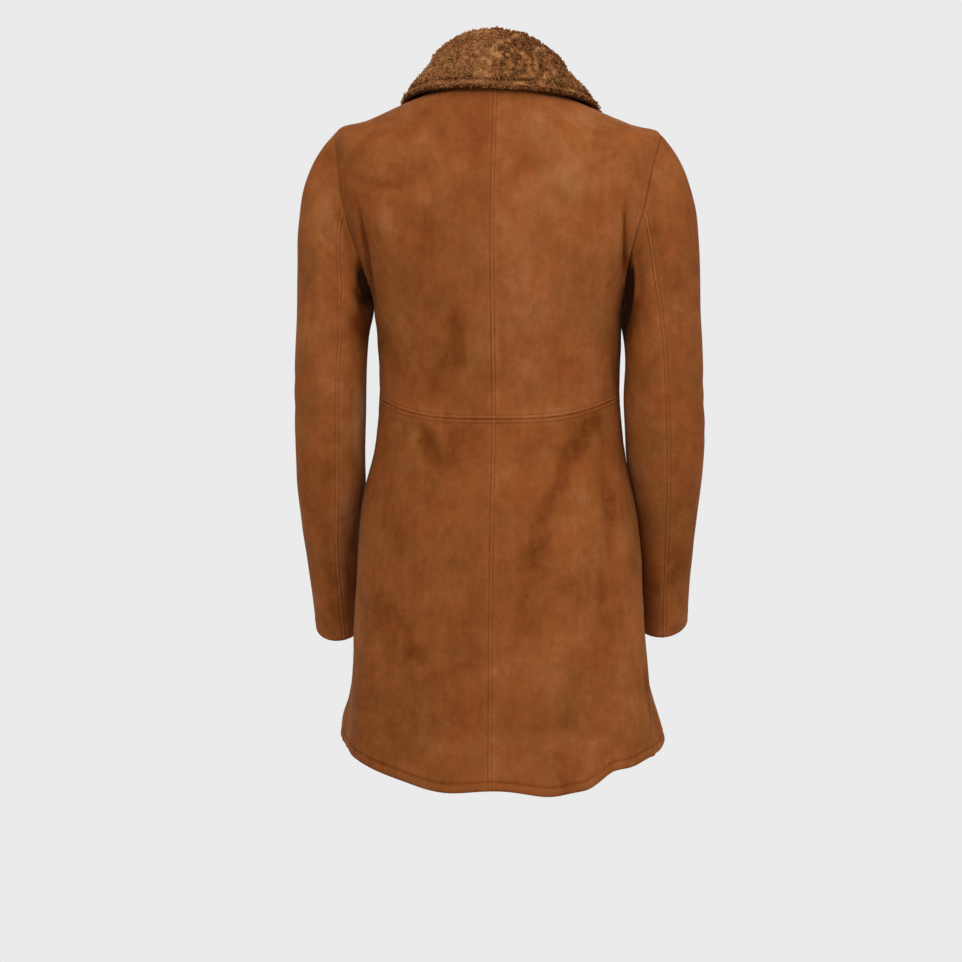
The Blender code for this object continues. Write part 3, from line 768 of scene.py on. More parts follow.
def nap_and_painted_shade(points, normals, part):
    """Light and dark of the nap, and painted shade and light in folds and armpits: leaning bells for
    each patch, their outlines made ragged by noise.
    """
    wander = layered(points, (0.008, 0.026, 51), (0.006, 0.010, 52))
    drift = layered(points, (0.010, 0.028, 53), (0.006, 0.011, 54))
    shade = layered(points, (0.30, 0.050, 55), (0.24, 0.020, 56))
    for across, seen, rows in on_part(NAP_AND_SHADE_PATCHES, part, normals):
        for *sizes, lean, strength in rows:
            u0, v0, half_width, half_height = MM * np.array(sizes)
            # small patches keep their place and outline
            loose = min(1.0, max(0.0, (half_width - FIRM_PATCH) / FIRM_PATCH_FADE))
            u, v = points[..., across] - u0 + loose * wander, points[..., 2] - v0 + loose * drift
            c, s = math.cos(math.radians(lean)), math.sin(math.radians(lean))
            beside, along = u * c + v * s, v * c - u * s
            patch = eased(0.12, 0.72, bell(beside, half_width) * bell(along, half_height))
            shade = shade + strength * patch * seen
    return shade


# ---- grids and meshes ----------------------------------------------------------------------------
# How far the first mesh lines are from a seam: close together where its ridge and stitches are.
EDGE_STEPS = MM * np.array(
    (0.0, 0.25, 0.6, 1.1, 1.6, 2.1, 2.6, 3.1, 3.7, 4.5, 5.6, 7.4, 10.1, 11.0, 11.9)
)


def shares(lengths, step, low=True, high=True):
    """Places from 0 to 1 along each length: close together at the chosen ends and even between them."""
    lengths = np.atleast_1d(lengths)[:, None]
    start = EDGE_STEPS if low else EDGE_STEPS[:1]
    end = EDGE_STEPS if high else EDGE_STEPS[:1]
    count = max(2, int(round((lengths.max() - start[-1] - end[-1]) / step)))
    between = np.linspace(0.0, 1.0, count + 1)[None, 1:-1]
    middle = start[-1] + (lengths - start[-1] - end[-1]) * between
    return np.concatenate([start + 0 * lengths, middle, lengths - end[::-1]], axis=1) / lengths


def by_length(place, low, high, step, edges=(True, True)):
    """Row by row, a parameter between low and high, set out by length along the row of a surface."""
    dense = np.linspace(0.0, 1.0, 161)
    points = place(low[:, None] + (high - low)[:, None] * dense)
    run = run_along(points, axis=1)
    wanted = shares(run[:, -1], step, *edges)
    reached = [np.interp(want, have / have[-1], dense) for want, have in zip(wanted, run)]
    return low[:, None] + (high - low)[:, None] * np.array(reached)


def wall_mesh(name, outer, inner, turned_out, hem_band=None, last_rim_wool=True):
    """A closed wall between two grids: outer faces, inner faces and a rim. Inner faces are wool but
    for the turned hems, and so is the rim of the last row."""
    rows, columns = outer.shape[:2]
    place = np.arange(rows * columns).reshape(rows, columns)
    face = [place[:-1, :-1], place[:-1, 1:], place[1:, 1:], place[1:, :-1]]
    face = np.stack(face, axis=-1).reshape(-1, 4)
    ways = [(place[0], False), (place[-1], True), (place[:, 0], True), (place[:, -1], False)]
    back = rows * columns
    rim = []
    for way, flipped in ways:
        here, there = (way[:-1], way[1:]) if flipped else (way[1:], way[:-1])
        rim.append(np.stack([here, there, there + back, here + back], axis=-1))
    faces = np.concatenate([face, face[:, ::-1] + back, *rim])
    if not turned_out:
        faces = faces[:, ::-1]
    points = np.concatenate([outer.reshape(-1, 3), inner.reshape(-1, 3)])
    slots = np.zeros(len(faces), np.int32)
    wool = np.ones(len(face), bool) if hem_band is None else ~hem_band[:-1, :-1].reshape(-1)
    slots[len(face) : 2 * len(face)][wool] = 1
    if last_rim_wool:
        slots[2 * len(face) + columns - 1 : 2 * len(face) + 2 * (columns - 1)] = 1
    return mesh_object(name, points, faces, slots)


def in_scene(name, data):
    """A new object that holds the data, linked to the scene."""
    made = bpy.data.objects.new(name, data)
    bpy.context.scene.collection.objects.link(made)
    return made


def mesh_object(name, points, faces, slots=None):
    """A mesh object at the origin from arrays of points and of four-cornered faces."""
    mesh = bpy.data.meshes.new(name)
    mesh.vertices.add(len(points))
    mesh.vertices.foreach_set("co", np.ascontiguousarray(points, np.float32).ravel())
    corners = faces.shape[1]
    mesh.loops.add(faces.size)
    mesh.loops.foreach_set("vertex_index", np.ascontiguousarray(faces, np.int32).ravel())
    mesh.polygons.add(len(faces))
    mesh.polygons.foreach_set("loop_start", np.arange(0, faces.size, corners, dtype=np.int32))
    if slots is not None:
        mesh.polygons.foreach_set("material_index", slots)
    mesh.update(calc_edges=True)
    mesh.validate()
    mesh.shade_smooth()
    return in_scene(name, mesh)


def flat_size(points):
    """(width, length) and area of a grid: its longest row, its longest column, all its faces."""
    width, length = run_along(points, axis=1)[:, -1].max(), run_along(points)[-1].max()
    faces = np.cross(points[1:, :-1] - points[:-1, :-1], points[:-1, 1:] - points[:-1, :-1])
    return (float(width), float(length)), float(np.linalg.norm(faces, axis=-1).sum())


def tube_corners(centre, aside, upward, radius):
    """Three corners round each point along each tube, a third of a turn apart."""
    ways = ((math.cos(turn), math.sin(turn)) for turn in np.radians([90.0, 210.0, 330.0]))
    return np.stack([centre + radius * (aside * c + upward * s) for c, s in ways], axis=2)


def tube_mesh(name, rings):
    """Closed tubes from (tube, ring, corner): two triangles to each side, and one at each end."""
    place = np.arange(rings[..., 0].size).reshape(rings.shape[:3])
    following = np.roll(place, -1, axis=2)
    sides = [place[:, :-1], following[:, :-1], following[:, 1:], place[:, 1:]]
    sides = np.stack(sides, axis=-1).reshape(-1, 4)
    ends = np.concatenate([place[:, 0, ::-1], place[:, -1]])
    faces = np.concatenate([sides[:, [0, 1, 2]], sides[:, [0, 2, 3]], ends])
    return mesh_object(name, rings.reshape(-1, 3), faces)


def point_values(piece, name, values):
    """Stores one number for each point of a piece, for its materials to read."""
    layer = piece.data.attributes.new(name, "FLOAT", "POINT")
    layer.data.foreach_set("value", np.ascontiguousarray(values, np.float32).ravel())


def finish_piece(piece, finishes):
    """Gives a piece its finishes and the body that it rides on."""
    for finish in finishes:
        piece.data.materials.append(pile_material(finish))
    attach(piece, "root")
    return piece


# ---- seam lines ----------------------------------------------------------------------------------
class Surface:
    """A form of two parameters, the second between two ends, with its point and its outward normal."""

    def __init__(self, point, normal, low, high, reach):
        self.point, self.normal = point, normal
        self.low, self.high, self.reach = low, high, reach

    def beside(self, u, v, offset):
        """Parameters of the line that runs beside another one, so far to its left as seen from outside,
        found in small steps over the surface."""
        steps = 12
        point = self.point(u, v)
        along = unit(np.gradient(point, axis=0))
        for _ in range(steps):
            aside = np.cross(self.normal(u, v), along) * (offset / steps)
            by_u = (self.point(u + 0.1, v) - self.point(u - 0.1, v)) / 0.2
            top, end = np.minimum(v + self.reach, self.high), np.maximum(v - self.reach, self.low)
            by_v = (self.point(u, top) - self.point(u, end)) / (top - end)[..., None]
            a, b, c = (by_u * by_u).sum(-1), (by_u * by_v).sum(-1), (by_v * by_v).sum(-1)
            p, q = (by_u * aside).sum(-1), (by_v * aside).sum(-1)
            split = np.maximum(a * c - b * b, 1e-18)
            u = u + (p * c - q * b) / split
            v = np.clip(v + (q * a - p * b) / split, self.low, self.high)
        return u, v


BODY = Surface(body_point, body_normal, HEM, NECK, 0.0015)
SLEEVES = {
    side: Surface(
        lambda turn, along, side=side: sleeve_point(turn, along, side),
        lambda turn, along, side=side: sleeve_normal(turn, along, side),
        0.0,
        CUFF,
        0.01,
    )
    for side in SIDES
}


def line(surface, u, v, kind, seed, part="body", fades=0.0):
    """A seam or edge along parameters of a surface, its kind, its noise seed, and the length over
    which it fades at its end."""
    u, v = np.broadcast_arrays(np.asarray(u, float), np.asarray(v, float))
    points = surface.point(u, v)
    return dict(surface=surface, u=u, v=v, points=points, kind=kind, seed=seed, part=part, fades=fades)


def seam_lines():
    """Every seam and turned edge of the coat by name, as a line on the body form or on a sleeve."""
    skirt, torso = np.linspace(HEM, WAIST, 110), np.linspace(WAIST, UNDERARM, 40)
    levels = np.concatenate([skirt, np.linspace(WAIST, NECK, 100)[1:]])
    yoke = np.linspace(SHOULDER, NECK, 30)
    hem_start = float(front_edge_angle(HEM))
    sleeve_run = np.concatenate([np.linspace(0, 1, 40), np.linspace(1, CUFF, 100)[1:]])
    found = {
        "centre_back": line(BODY, 90.0, levels, "ridged", 11),
        "waist_left": line(BODY, np.linspace(90, 0, 90), WAIST, "opened", 13, fades=0.046),
        "waist_right": line(BODY, np.linspace(90, 180, 90), WAIST, "opened", 15, fades=0.046),
        "hem": line(BODY, np.linspace(hem_start, 180.0 - hem_start, 320), HEM, "turned", 17),
    }
    for number, side in enumerate(SIDES):
        seed = 31 + 20 * number
        angle, level = armhole(np.linspace(0.0, 360.0, 161), side)
        part = f"sleeve_{side}"
        surface = SLEEVES[side]
        found |= {
            f"side_{side}": line(
                BODY, on_side(0.0, side), np.concatenate([skirt, torso[1:]]), "ridged", seed
            ),
            f"shoulder_{side}": line(BODY, on_side(0.0, side), yoke, "ridged", seed + 2),
            f"armhole_{side}": line(BODY, on_side(angle, side), level, "set_in", seed + 4),
            f"front_edge_{side}": line(
                BODY, on_side(front_edge_angle(levels), side), levels, "turned", seed + 6
            ),
            f"cap_{side}": line(surface, np.linspace(0, 360, 161), 0.0, "set_in", seed + 8, part),
            f"sleeve_back_{side}": line(
                surface, back_seam_turn(sleeve_run, side), sleeve_run, "ridged", seed + 10, part
            ),
            f"sleeve_front_{side}": line(
                surface, SLEEVE_FRONT_SEAM, sleeve_run, "ridged", seed + 12, part
            ),
            f"cuff_{side}": line(surface, np.linspace(0, 360, 121), CUFF, "turned", seed + 14, part),
        }
    return found


SEAMS = seam_lines()

# How much lighter or darker than the others each piece of hide is: the hides differ from left to right
# and the back skirts are darker, and the left under-sleeve is made lighter as painted light on its
# shaded inner side.
HIDE_TONE_AND_PAINTED_LIGHT = {
    "back_bodice_left": -0.34,
    "back_bodice_right": 0.04,
    "back_skirt_left": -0.57,
    "back_skirt_right": -0.41,
    "front_left": -0.05,
    "front_right": 0.10,
    "sleeve_top_left": -0.22,
    "sleeve_under_left": 0.10,
    "sleeve_top_right": -0.46,
    "sleeve_under_right": -0.20,
}


# How much lighter the colour is painted for each metre that the cloth is raised, and darker where it
# sinks, in folds, on ridges and in grooves: painted highlight and painted shade.
FOLD_SHADE, RIDGE_SHADE, GROOVE_SHADE = 120.0, 760.0, 200.0
SEAM_SHADOWS = {"set_in": (0.55, 0.0, 1.1 * MM), "turned": (0.9, STITCHED_AT["turned"], 0.9 * MM)}


def relief(points, normals, part, seams, strength):
    """The cloth's height above the plain form, and the nap's tone with its painted shade and highlight,
    from its seams and creases.
    """
    height = crease_relief(points, normals, part, strength)
    height += layered(points, (0.00045, 0.030, 71), (0.00070, 0.070, 72))
    # painted shade in the troughs of creases, painted highlight on their crests
    shade = nap_and_painted_shade(points, normals, part) + FOLD_SHADE * np.clip(height, -0.004, 0.004)
    set_in, free = 0.0, 1.0
    for name in seams:
        seam = SEAMS[name]
        away, run = from_line(points, seam["points"])
        across = seam_relief(away, run, seam["kind"], seam["seed"])
        if seam["fades"]:
            across = across * eased(0.008, seam["fades"], run_along(seam["points"])[-1] - run)
        if seam["kind"] == "set_in":
            # two surfaces meet here at an angle: both keep to the line itself
            set_in = set_in + across
            free = free * eased(0.0004, 0.0075, away)
        else:
            height = height + across
        if seam["kind"] in SEAM_SHADOWS:
            darkness, at, spread = SEAM_SHADOWS[seam["kind"]]
            shade = shade - darkness * bell(away - at, spread)
        # painted highlight on the ridges of seams, painted shade in their grooves
        shade = shade + RIDGE_SHADE * np.maximum(across, 0) + GROOVE_SHADE * np.minimum(across, 0)
    return height * free + set_in, shade


EDGE_ROUND = 0.0030
HEM_TURNED_UP = 0.016  # the skin is folded in at hem, cuffs and front edges by this much


def rounding(points, edges):
    """How far the wall's face draws in near a turned edge: r - sqrt(r² - (r - d)²)."""
    drawn = np.zeros(points.shape[:-1])
    for name in edges:
        away, _ = from_line(points, SEAMS[name]["points"])
        left = np.clip(1 - away / EDGE_ROUND, 0, 1)
        drawn = np.maximum(drawn, EDGE_ROUND * (1 - np.sqrt(np.clip(1 - left**2, 0, 1))))
    return drawn


def cloth_piece(name, points, normals, part, seams, edges, side, inner=None):
    """One cut piece as a closed wall, from its plain grid: skin outside with seams and creases, wool
    inside."""
    sizes = bpy.context.scene.coat_sizes
    drawn = rounding(points, edges)
    height, shade = relief(points, normals, part, seams, sizes.crease_strength)
    shade = shade + HIDE_TONE_AND_PAINTED_LIGHT[name]
    outer = points + normals * (height - drawn)[..., None]
    if inner is None:
        inner = points - WALL * normals
    wool = layered(inner, (0.0008, 0.0065, 81), (0.0009, 0.016, 82))
    band = np.zeros(points.shape[:-1], bool)
    for edge in edges:
        band |= from_line(points, SEAMS[edge]["points"])[0] < HEM_TURNED_UP
    wool = np.where(band, 0.0006, wool)
    inner = inner + normals * (drawn + height * 0.5 + wool)[..., None]
    piece = wall_mesh(f"{name}_skin", outer, inner, side == "left", band)
    inside = np.where(band, shade, layered(inner, (0.6, 0.012, 83), (0.4, 0.004, 84)))
    # the nap attribute carries the nap's tone together with its painted shade and highlight
    point_values(piece, "nap", np.stack([shade, inside]))
    finish_piece(piece, ("napped_suede", "clipped_wool"))
    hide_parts(name)
    return piece, *flat_size(points)


# ---- the cut pieces ------------------------------------------------------------------------------
SEAM_CLEARANCE = 0.00003
ARMHOLE_ROWS, YOKE_ROWS = 64, 32


def mesh_step():
    """How far apart the cloth's mesh lines are set to be."""
    return bpy.context.scene.coat_sizes.mesh_step


def body_piece(name, side, levels, low, high, seams, edges):
    """A piece of the body form: rows of levels, each between two angles, set out by length."""
    step = mesh_step()
    rows = levels[:, None]
    angles = by_length(lambda a: body_point(a, rows), low, high, step)
    angles = on_side(angles, side)
    points = body_point(angles, rows)
    normals = body_normal(angles, rows)
    points = clear_of_seams(points)
    return cloth_piece(f"{name}_{side}", points, normals, "body", seams, edges, side)


def clear_of_seams(points):
    """Draws a grid in by a hair at its four sides, so that neighbours don't share their edges."""
    points = points.copy()
    points[:, 0] += SEAM_CLEARANCE * unit(points[:, 1] - points[:, 0])
    points[:, -1] += SEAM_CLEARANCE * unit(points[:, -2] - points[:, -1])
    points[0] += SEAM_CLEARANCE * unit(points[1] - points[0])
    points[-1] += SEAM_CLEARANCE * unit(points[-2] - points[-1])
    return points


def level_rows(low, high, step, edges=(True, True)):
    """Levels from low to high, close together at the chosen ends."""
    return low + (high - low) * shares(high - low, step, *edges)[0]


def make_back_bodice(side):
    """From the centre back to the side seam, the armhole and, above it, the shoulder seam."""
    step = mesh_step()
    torso = level_rows(WAIST, UNDERARM, step, (True, False))
    angle, level = armhole(np.linspace(180.0, 0.0, ARMHOLE_ROWS), side)
    yoke = np.linspace(SHOULDER, NECK, YOKE_ROWS)
    levels = np.concatenate([torso[:-1], level, yoke[1:]])
    low = np.concatenate([0 * torso[:-1], angle, 0 * yoke[1:]])
    seams = ("centre_back", f"waist_{side}", f"side_{side}", f"armhole_{side}", f"shoulder_{side}")
    return body_piece("back_bodice", side, levels, low, 90.0 + 0 * low, seams, ())


def make_back_skirt(side):
    """From the centre back to the side seam, and from the hem to the waist seam."""
    levels = level_rows(HEM, WAIST, mesh_step())
    seams = ("centre_back", f"waist_{side}", f"side_{side}", "hem")
    return body_piece("back_skirt", side, levels, 0 * levels, 90.0 + 0 * levels, seams, ("hem",))


def make_front(side):
    """From the front edge to the side seam, armhole and shoulder seam, and from the hem to the neck."""
    step = mesh_step()
    skirt = level_rows(HEM, WAIST, step, (True, False))
    torso = level_rows(WAIST, UNDERARM, step, (False, False))
    angle, level = armhole(np.linspace(180.0, 360.0, ARMHOLE_ROWS), side)
    yoke = np.linspace(SHOULDER, NECK, YOKE_ROWS)
    levels = np.concatenate([skirt[:-1], torso[:-1], level, yoke[1:]])
    high = np.concatenate([0 * skirt[:-1], 0 * torso[:-1], angle, 0 * yoke[1:]])
    seams = (f"side_{side}", f"armhole_{side}", f"shoulder_{side}", f"front_edge_{side}", "hem")
    edges = ("hem", f"front_edge_{side}")
    return body_piece("front", side, levels, front_edge_angle(levels), high, seams, edges)


TUBE_LENGTH = 0.375  # from the sleeve's first ring to the cuff
INNER_RIM_FADE = 0.10  # share of the cap over which the inside comes in line with the armhole's rim


def make_sleeve_piece(name, side, first_seam, last_seam):
    """A piece of the sleeve: columns of turns between two seams, rows from cuff to armhole."""
    step = mesh_step()
    even_step = TUBE_LENGTH / int(TUBE_LENGTH / step)
    tube = 1.0 + (CUFF - 1.0) * shares(TUBE_LENGTH, even_step, False, True)[0]
    first_turn, last_turn = float(first_seam(1.0, side)), float(last_seam(1.0, side))
    rough = np.linspace(first_turn, last_turn, 40)
    cap_length = run_along(sleeve_point(rough, np.linspace(0, 1, 30)[:, None], side))[-1]
    ends = np.array([first_turn]), np.array([last_turn])
    turns_at_ring = by_length(lambda turn: sleeve_point(turn, 1.0, side), *ends, step)[0]
    lengths = np.interp(turns_at_ring, rough, cap_length)
    cap = shares(lengths, step, True, False).T
    along = np.concatenate([cap, tube[1:, None] + 0 * turns_at_ring[None]])[::-1]
    low, high = first_seam(along[:, 0], side), last_seam(along[:, -1], side)
    turns = by_length(lambda turn: sleeve_point(turn, along[:, :1], side), low, high, step)
    if turns.shape[1] != along.shape[1]:
        wanted, had = (np.linspace(0, 1, grid.shape[1]) for grid in (along, turns))
        turns = np.stack([np.interp(wanted, had, row) for row in turns])
    points = sleeve_point(turns, along, side)
    normals = sleeve_normal(turns, along, side)
    points = clear_of_seams(points)
    inner = points - WALL * normals
    angle, level = armhole(np.arange(0.0, 360.0, 15.0), side)
    middle = body_point(on_side(angle, side), level).mean(axis=0)
    rim = points[-1] + WALL * unit(middle - points[-1])
    inner = inner + (rim - inner[-1]) * eased(INNER_RIM_FADE, 0.0, along)[..., None]
    seams = (f"cap_{side}", f"sleeve_back_{side}", f"sleeve_front_{side}", f"cuff_{side}")
    part, edges = f"sleeve_{side}", (f"cuff_{side}",)
    return cloth_piece(f"{name}_{side}", points, normals, part, seams, edges, side, inner)


# ---- stitches ------------------------------------------------------------------------------------
THREAD_PLACES = np.array([0.0, 0.3, 0.7, 1.0])  # where a thread's rings are along it
THREAD_ARCH = np.array([-0.25, 0.22, 0.22, -0.25]) * MM  # and how high above the skin


def stitch_rings(seam, offset, neighbours, sizes):
    """Threads beside a seam: each an arch of four triangular rings that dips into the skin."""
    surface = seam["surface"]
    u, v = surface.beside(seam["u"], seam["v"], offset)
    points, normals = surface.point(u, v), surface.normal(u, v)
    run = run_along(points)
    pitch, length = sizes.stitch_pitch, sizes.stitch_length
    begins = np.arange(pitch, run[-1] - pitch, pitch)
    at = begins[:, None] + length * THREAD_PLACES
    place = np.stack([np.interp(at, run, points[:, k]) for k in range(3)], axis=-1)
    facing = unit(np.stack([np.interp(at, run, normals[:, k]) for k in range(3)], axis=-1))
    height, _ = relief(place, facing, seam["part"], neighbours, sizes.crease_strength)
    centre = place + facing * (height + THREAD_ARCH)[..., None]
    along = unit(np.gradient(centre, axis=1))
    aside = np.cross(facing, along)
    return tube_corners(centre, aside, facing, sizes.thread)


STITCH_LINES = {
    # piece: (seam, sides on which it is stitched, seams that shape the skin there)
    "body_stitches": (
        ("centre_back", (1, -1), ("centre_back",)),
        ("waist_left", (1, -1), ("waist_left", "centre_back")),
        ("waist_right", (1, -1), ("waist_right", "centre_back")),
        ("side_left", (1, -1), ("side_left",)),
        ("side_right", (1, -1), ("side_right",)),
        ("shoulder_left", (1, -1), ("shoulder_left",)),
        ("shoulder_right", (1, -1), ("shoulder_right",)),
        ("hem", (1,), ("hem",)),
        ("front_edge_left", (-1,), ("front_edge_left",)),
        ("front_edge_right", (1,), ("front_edge_right",)),
    ),
    "sleeve_stitches": tuple(
        (f"{seam}_{side}", signs[side], (f"{seam}_{side}",))
        for side in SIDES
        for seam, signs in (
            ("sleeve_back", {"left": (1, -1), "right": (1, -1)}),
            ("sleeve_front", {"left": (1, -1), "right": (1, -1)}),
            ("cuff", {"left": (1,), "right": (-1,)}),
        )
    ),
}


# ---- collar --------------------------------------------------------------------------------------
def resampled(grid, count):
    """A grid's rows set out anew at even distances along cubic curves through the old ones."""
    run = run_along(grid).mean(axis=1)
    table = np.concatenate([run[:, None], grid.reshape(len(grid), -1)], axis=1)
    return smooth_columns(table, np.linspace(0, run[-1], count)).reshape(count, *grid.shape[1:])


COLLAR_ROWS, COLLAR_HALF_COLUMNS = 90, 150
PARTING_AT, PARTING_SPREAD = 13.5 * MM, 1.6 * MM
PELT_SUNK, PELT_SHORTER = 2.2 * MM, 3.2 * MM  # under the curls, and short of the leaf's edge
# Golden and darker patches of the wool behind the neck: across, up, reach in metres, and strength.
COLLAR_TONES = (
    (0.016, 0.019, 0.015, 1.2),
    (0.016, 0.052, 0.009, 1.0),
    (0.050, 0.014, 0.012, 0.6),
    (-0.010, 0.041, 0.014, -1.1),
    (-0.052, 0.020, 0.016, -0.6),
    (-0.030, 0.006, 0.012, 0.5),
)


def collar_faces():
    """Both faces of the whole collar, wool then skin, from the right front edge round to the left."""
    stations = np.linspace(0.0, len(COLLAR_STATIONS) - 1, COLLAR_HALF_COLUMNS)
    halves = zip(collar_half(stations, "right"), collar_half(stations, "left"))
    faces = [np.concatenate([right[:, :0:-1], left], axis=1) for right, left in halves]
    return [resampled(face, COLLAR_ROWS) for face in faces]


def wool_face():
    """The collar's wool face, its steps across and down, their cross product, which points outwards,
    and each point's way to the leaf's edge."""
    wool = collar_faces()[0]
    across, down = np.gradient(wool, axis=1), np.gradient(wool, axis=0)
    return wool, across, down, np.cross(across, down), run_along(wool[::-1])[::-1]


def parting(points, from_edge):
    """1 where the roll of wool at the leaf's edge parts from the rest, less on both sides of it."""
    return bell(from_edge - PARTING_AT - 0.0015 * soft_noise(points, 0.02, 91), PARTING_SPREAD)


def make_collar():
    """The collar's pelt: its wool face sunk under the curls, with lumps and the parting, and its skin
    face."""
    wool, _, down, outwards, from_edge = wool_face()
    skin = collar_faces()[1]
    parted = parting(wool, from_edge)
    lumps = layered(wool, (0.0011, 0.0042, 92), (0.0010, 0.0085, 93))
    edge_fade = eased(0.0, 0.003, from_edge) * eased(0.0, 0.004, run_along(wool))
    raised = (lumps - 0.0016 * parted) * edge_fade - PELT_SUNK
    back = unit(down) * (PELT_SHORTER * eased(0.014, 0.0, from_edge))[..., None]
    surface, skin = wool + unit(outwards) * raised[..., None] - back, skin - back
    shaded = 2.4 * eased(0.003, 0.0, from_edge)  # the edge lies in the shadow of the curls
    # lighter on the raised lumps and darker in the parting: painted highlight and painted shade
    shade = 0.9 * soft_noise(wool, 0.004, 94) + 600 * lumps - 2.0 * parted - shaded
    under = 0.4 * soft_noise(skin, 0.02, 95) - shaded
    kept = np.r_[0 : COLLAR_ROWS - 1 : 2, COLLAR_ROWS - 1]  # half the rows do, under the curls
    piece = wall_mesh("collar_pelt", surface[kept], skin[kept], True, last_rim_wool=False)
    point_values(piece, "nap", np.stack([shade[kept], under[kept]]))
    finish_piece(piece, ("clipped_wool", "napped_suede"))
    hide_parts("collar")
    return piece, *flat_size(wool)


# A lock: the ranges of its length, of its spiral's radius and of its turns, how deep its root is
# sunk, and half its thickness at each ring from root to tip.
LOCK_LENGTH, LOCK_RADIUS, LOCK_TURNS = (0.0034, 0.0054), (0.0009, 0.0017), (0.7, 1.3)
LOCK_ROOT = 3.2 * MM
LOCK_THICKNESS = np.array([0.85, 1.0, 1.0, 0.9, 0.7, 0.25]) * 1.05 * MM
LOCK_RISE, OVERHANG_RISE = (0.28, 0.66), -0.30  # how steeply locks stand on the leaf, and over its edge


def scattered(weight, count, random):
    """Rows and columns of places on a grid, chosen by weight and shifted within their cells."""
    chosen = random.choice(weight.size, size=count, p=(weight / weight.sum()).ravel())
    row, column = np.unravel_index(chosen, weight.shape)
    row = np.clip(row + random.uniform(-0.5, 0.5, count), 0, weight.shape[0] - 1.001)
    column = np.clip(column + random.uniform(-0.5, 0.5, count), 0, weight.shape[1] - 1.001)
    return row, column


def read_at(grid, row, column):
    """A grid's values at rows and columns that lie in between its own."""
    r, c = row.astype(int), column.astype(int)
    a, b = row - r, column - c
    if grid.ndim == 3:
        a, b = a[:, None], b[:, None]
    near = grid[r, c] * (1 - b) + grid[r, c + 1] * b
    far = grid[r + 1, c] * (1 - b) + grid[r + 1, c + 1] * b
    return near * (1 - a) + far * a


# painted shade at the locks' roots deep in the wool, painted highlight at their tips
ROOT_TO_TIP_TONE = (-2.2, 0.7)
# the parting's darkness is painted shade
PARTED_DARKER, PARTED_BARER = 1.6, 0.75  # how much darker the parting is, and its share without locks


def lock_tones(root, random):
    """How light each lock is, by chance and by place. The left half is lighter than the right one."""
    tone = 0.55 * random.normal(size=len(root)) + layered(root, (0.8, 0.012, 97), (0.5, 0.03, 98))
    tone += 0.45 * np.tanh(root[:, 0] / 0.02)
    for x, z, spread, strength in COLLAR_TONES:
        reach = np.hypot(root[:, 0] - x + 0.006 * soft_noise(root, 0.008, 99), root[:, 2] - z)
        tone += strength * bell(reach, spread) * (root[:, 1] > 0.03)
    return tone


def make_curls():
    """Small curled locks all over the wool face: each a tapering spiral of triangular rings."""
    wool, across, down_it, outwards, from_edge = wool_face()
    from_start = run_along(wool, axis=1)
    whole = from_start[:, -1:]
    from_ends = np.where(2 * from_start < whole, from_start, from_start - whole)
    random = np.random.default_rng(7)
    count = bpy.context.scene.coat_sizes.curl_count
    crowd = 1.0 + 3.0 * eased(0.0035, 0.0, from_edge) + 0.8 * eased(0.004, 0.0, np.abs(from_ends))
    at = scattered(np.linalg.norm(outwards, axis=-1) * crowd, count, random)
    root, edge, ends = (read_at(grid, *at) for grid in (wool, from_edge, from_ends))
    normal, down, across = (unit(read_at(grid, *at)) for grid in (unit(outwards), down_it, across))
    swirl = 1.4 * soft_noise(root, 0.018, 96) + 0.8 * random.normal(size=count)
    lean = down * np.cos(swirl)[:, None] + np.cross(normal, down) * np.sin(swirl)[:, None]
    endways = 0.5 * np.sign(ends)[:, None] * across
    outward = eased(0.006, 0.001, edge)[:, None] * 0.9 * down
    outward = outward - eased(0.005, 0.001, np.abs(ends))[:, None] * endways
    over = eased(0.0035, 0.0, edge)[:, None]  # these hang over the leaf's edge
    rise = random.uniform(*LOCK_RISE, count)[:, None] * (1 - over) + OVERHANG_RISE * over
    axis = unit(lean * (0.8 - 0.35 * over) + outward + normal * rise)
    first = unit(np.cross(axis, normal))
    second = np.cross(axis, first)
    near_rim = eased(0.0, 0.004, np.abs(ends)).clip(0.55, 1) * eased(0.0, 0.004, edge).clip(0.72, 1)
    length = random.uniform(*LOCK_LENGTH, count) * near_rim
    radius = random.uniform(*LOCK_RADIUS, count) * near_rim
    turns = random.uniform(*LOCK_TURNS, count) * random.choice([-1.0, 1.0], count)
    phase = random.uniform(0, 2 * np.pi, count)
    share = np.linspace(0.0, 1.0, len(LOCK_THICKNESS))
    angle = phase[:, None] + 2 * np.pi * turns[:, None] * share
    spiral = radius[:, None] * (0.5 + 0.5 * share)
    depth = LOCK_ROOT + over * random.uniform(-0.0012, 0.0040, (count, 1))
    sunk = root - normal * depth - down * 0.0030 * over
    centre = (
        sunk[:, None]
        + axis[:, None] * (length[:, None] * share)[..., None]
        + first[:, None] * (spiral * np.cos(angle))[..., None]
        + second[:, None] * (spiral * np.sin(angle))[..., None]
    )
    along = unit(np.gradient(centre, axis=1))
    aside = unit(np.cross(along, normal[:, None]))
    rings = tube_corners(centre, aside, np.cross(aside, along), LOCK_THICKNESS[:, None])
    parted = parting(root, edge)
    # painted shade in the parting, then painted shade at the roots and painted highlight at the tips
    tone = lock_tones(root, random) - PARTED_DARKER * parted
    tone = tone[:, None] + np.linspace(*ROOT_TO_TIP_TONE, len(share))
    pieces = []
    for side, mine in (("left", root[:, 0] >= 0), ("right", root[:, 0] < 0)):
        kept = mine & (random.random(count) > PARTED_BARER * parted)
        piece = tube_mesh(f"collar_curls_{side}", rings[kept])
        point_values(piece, "nap", np.repeat(tone[kept], 3))
        pieces.append(finish_piece(piece, ("curled_wool",)))
    return pieces


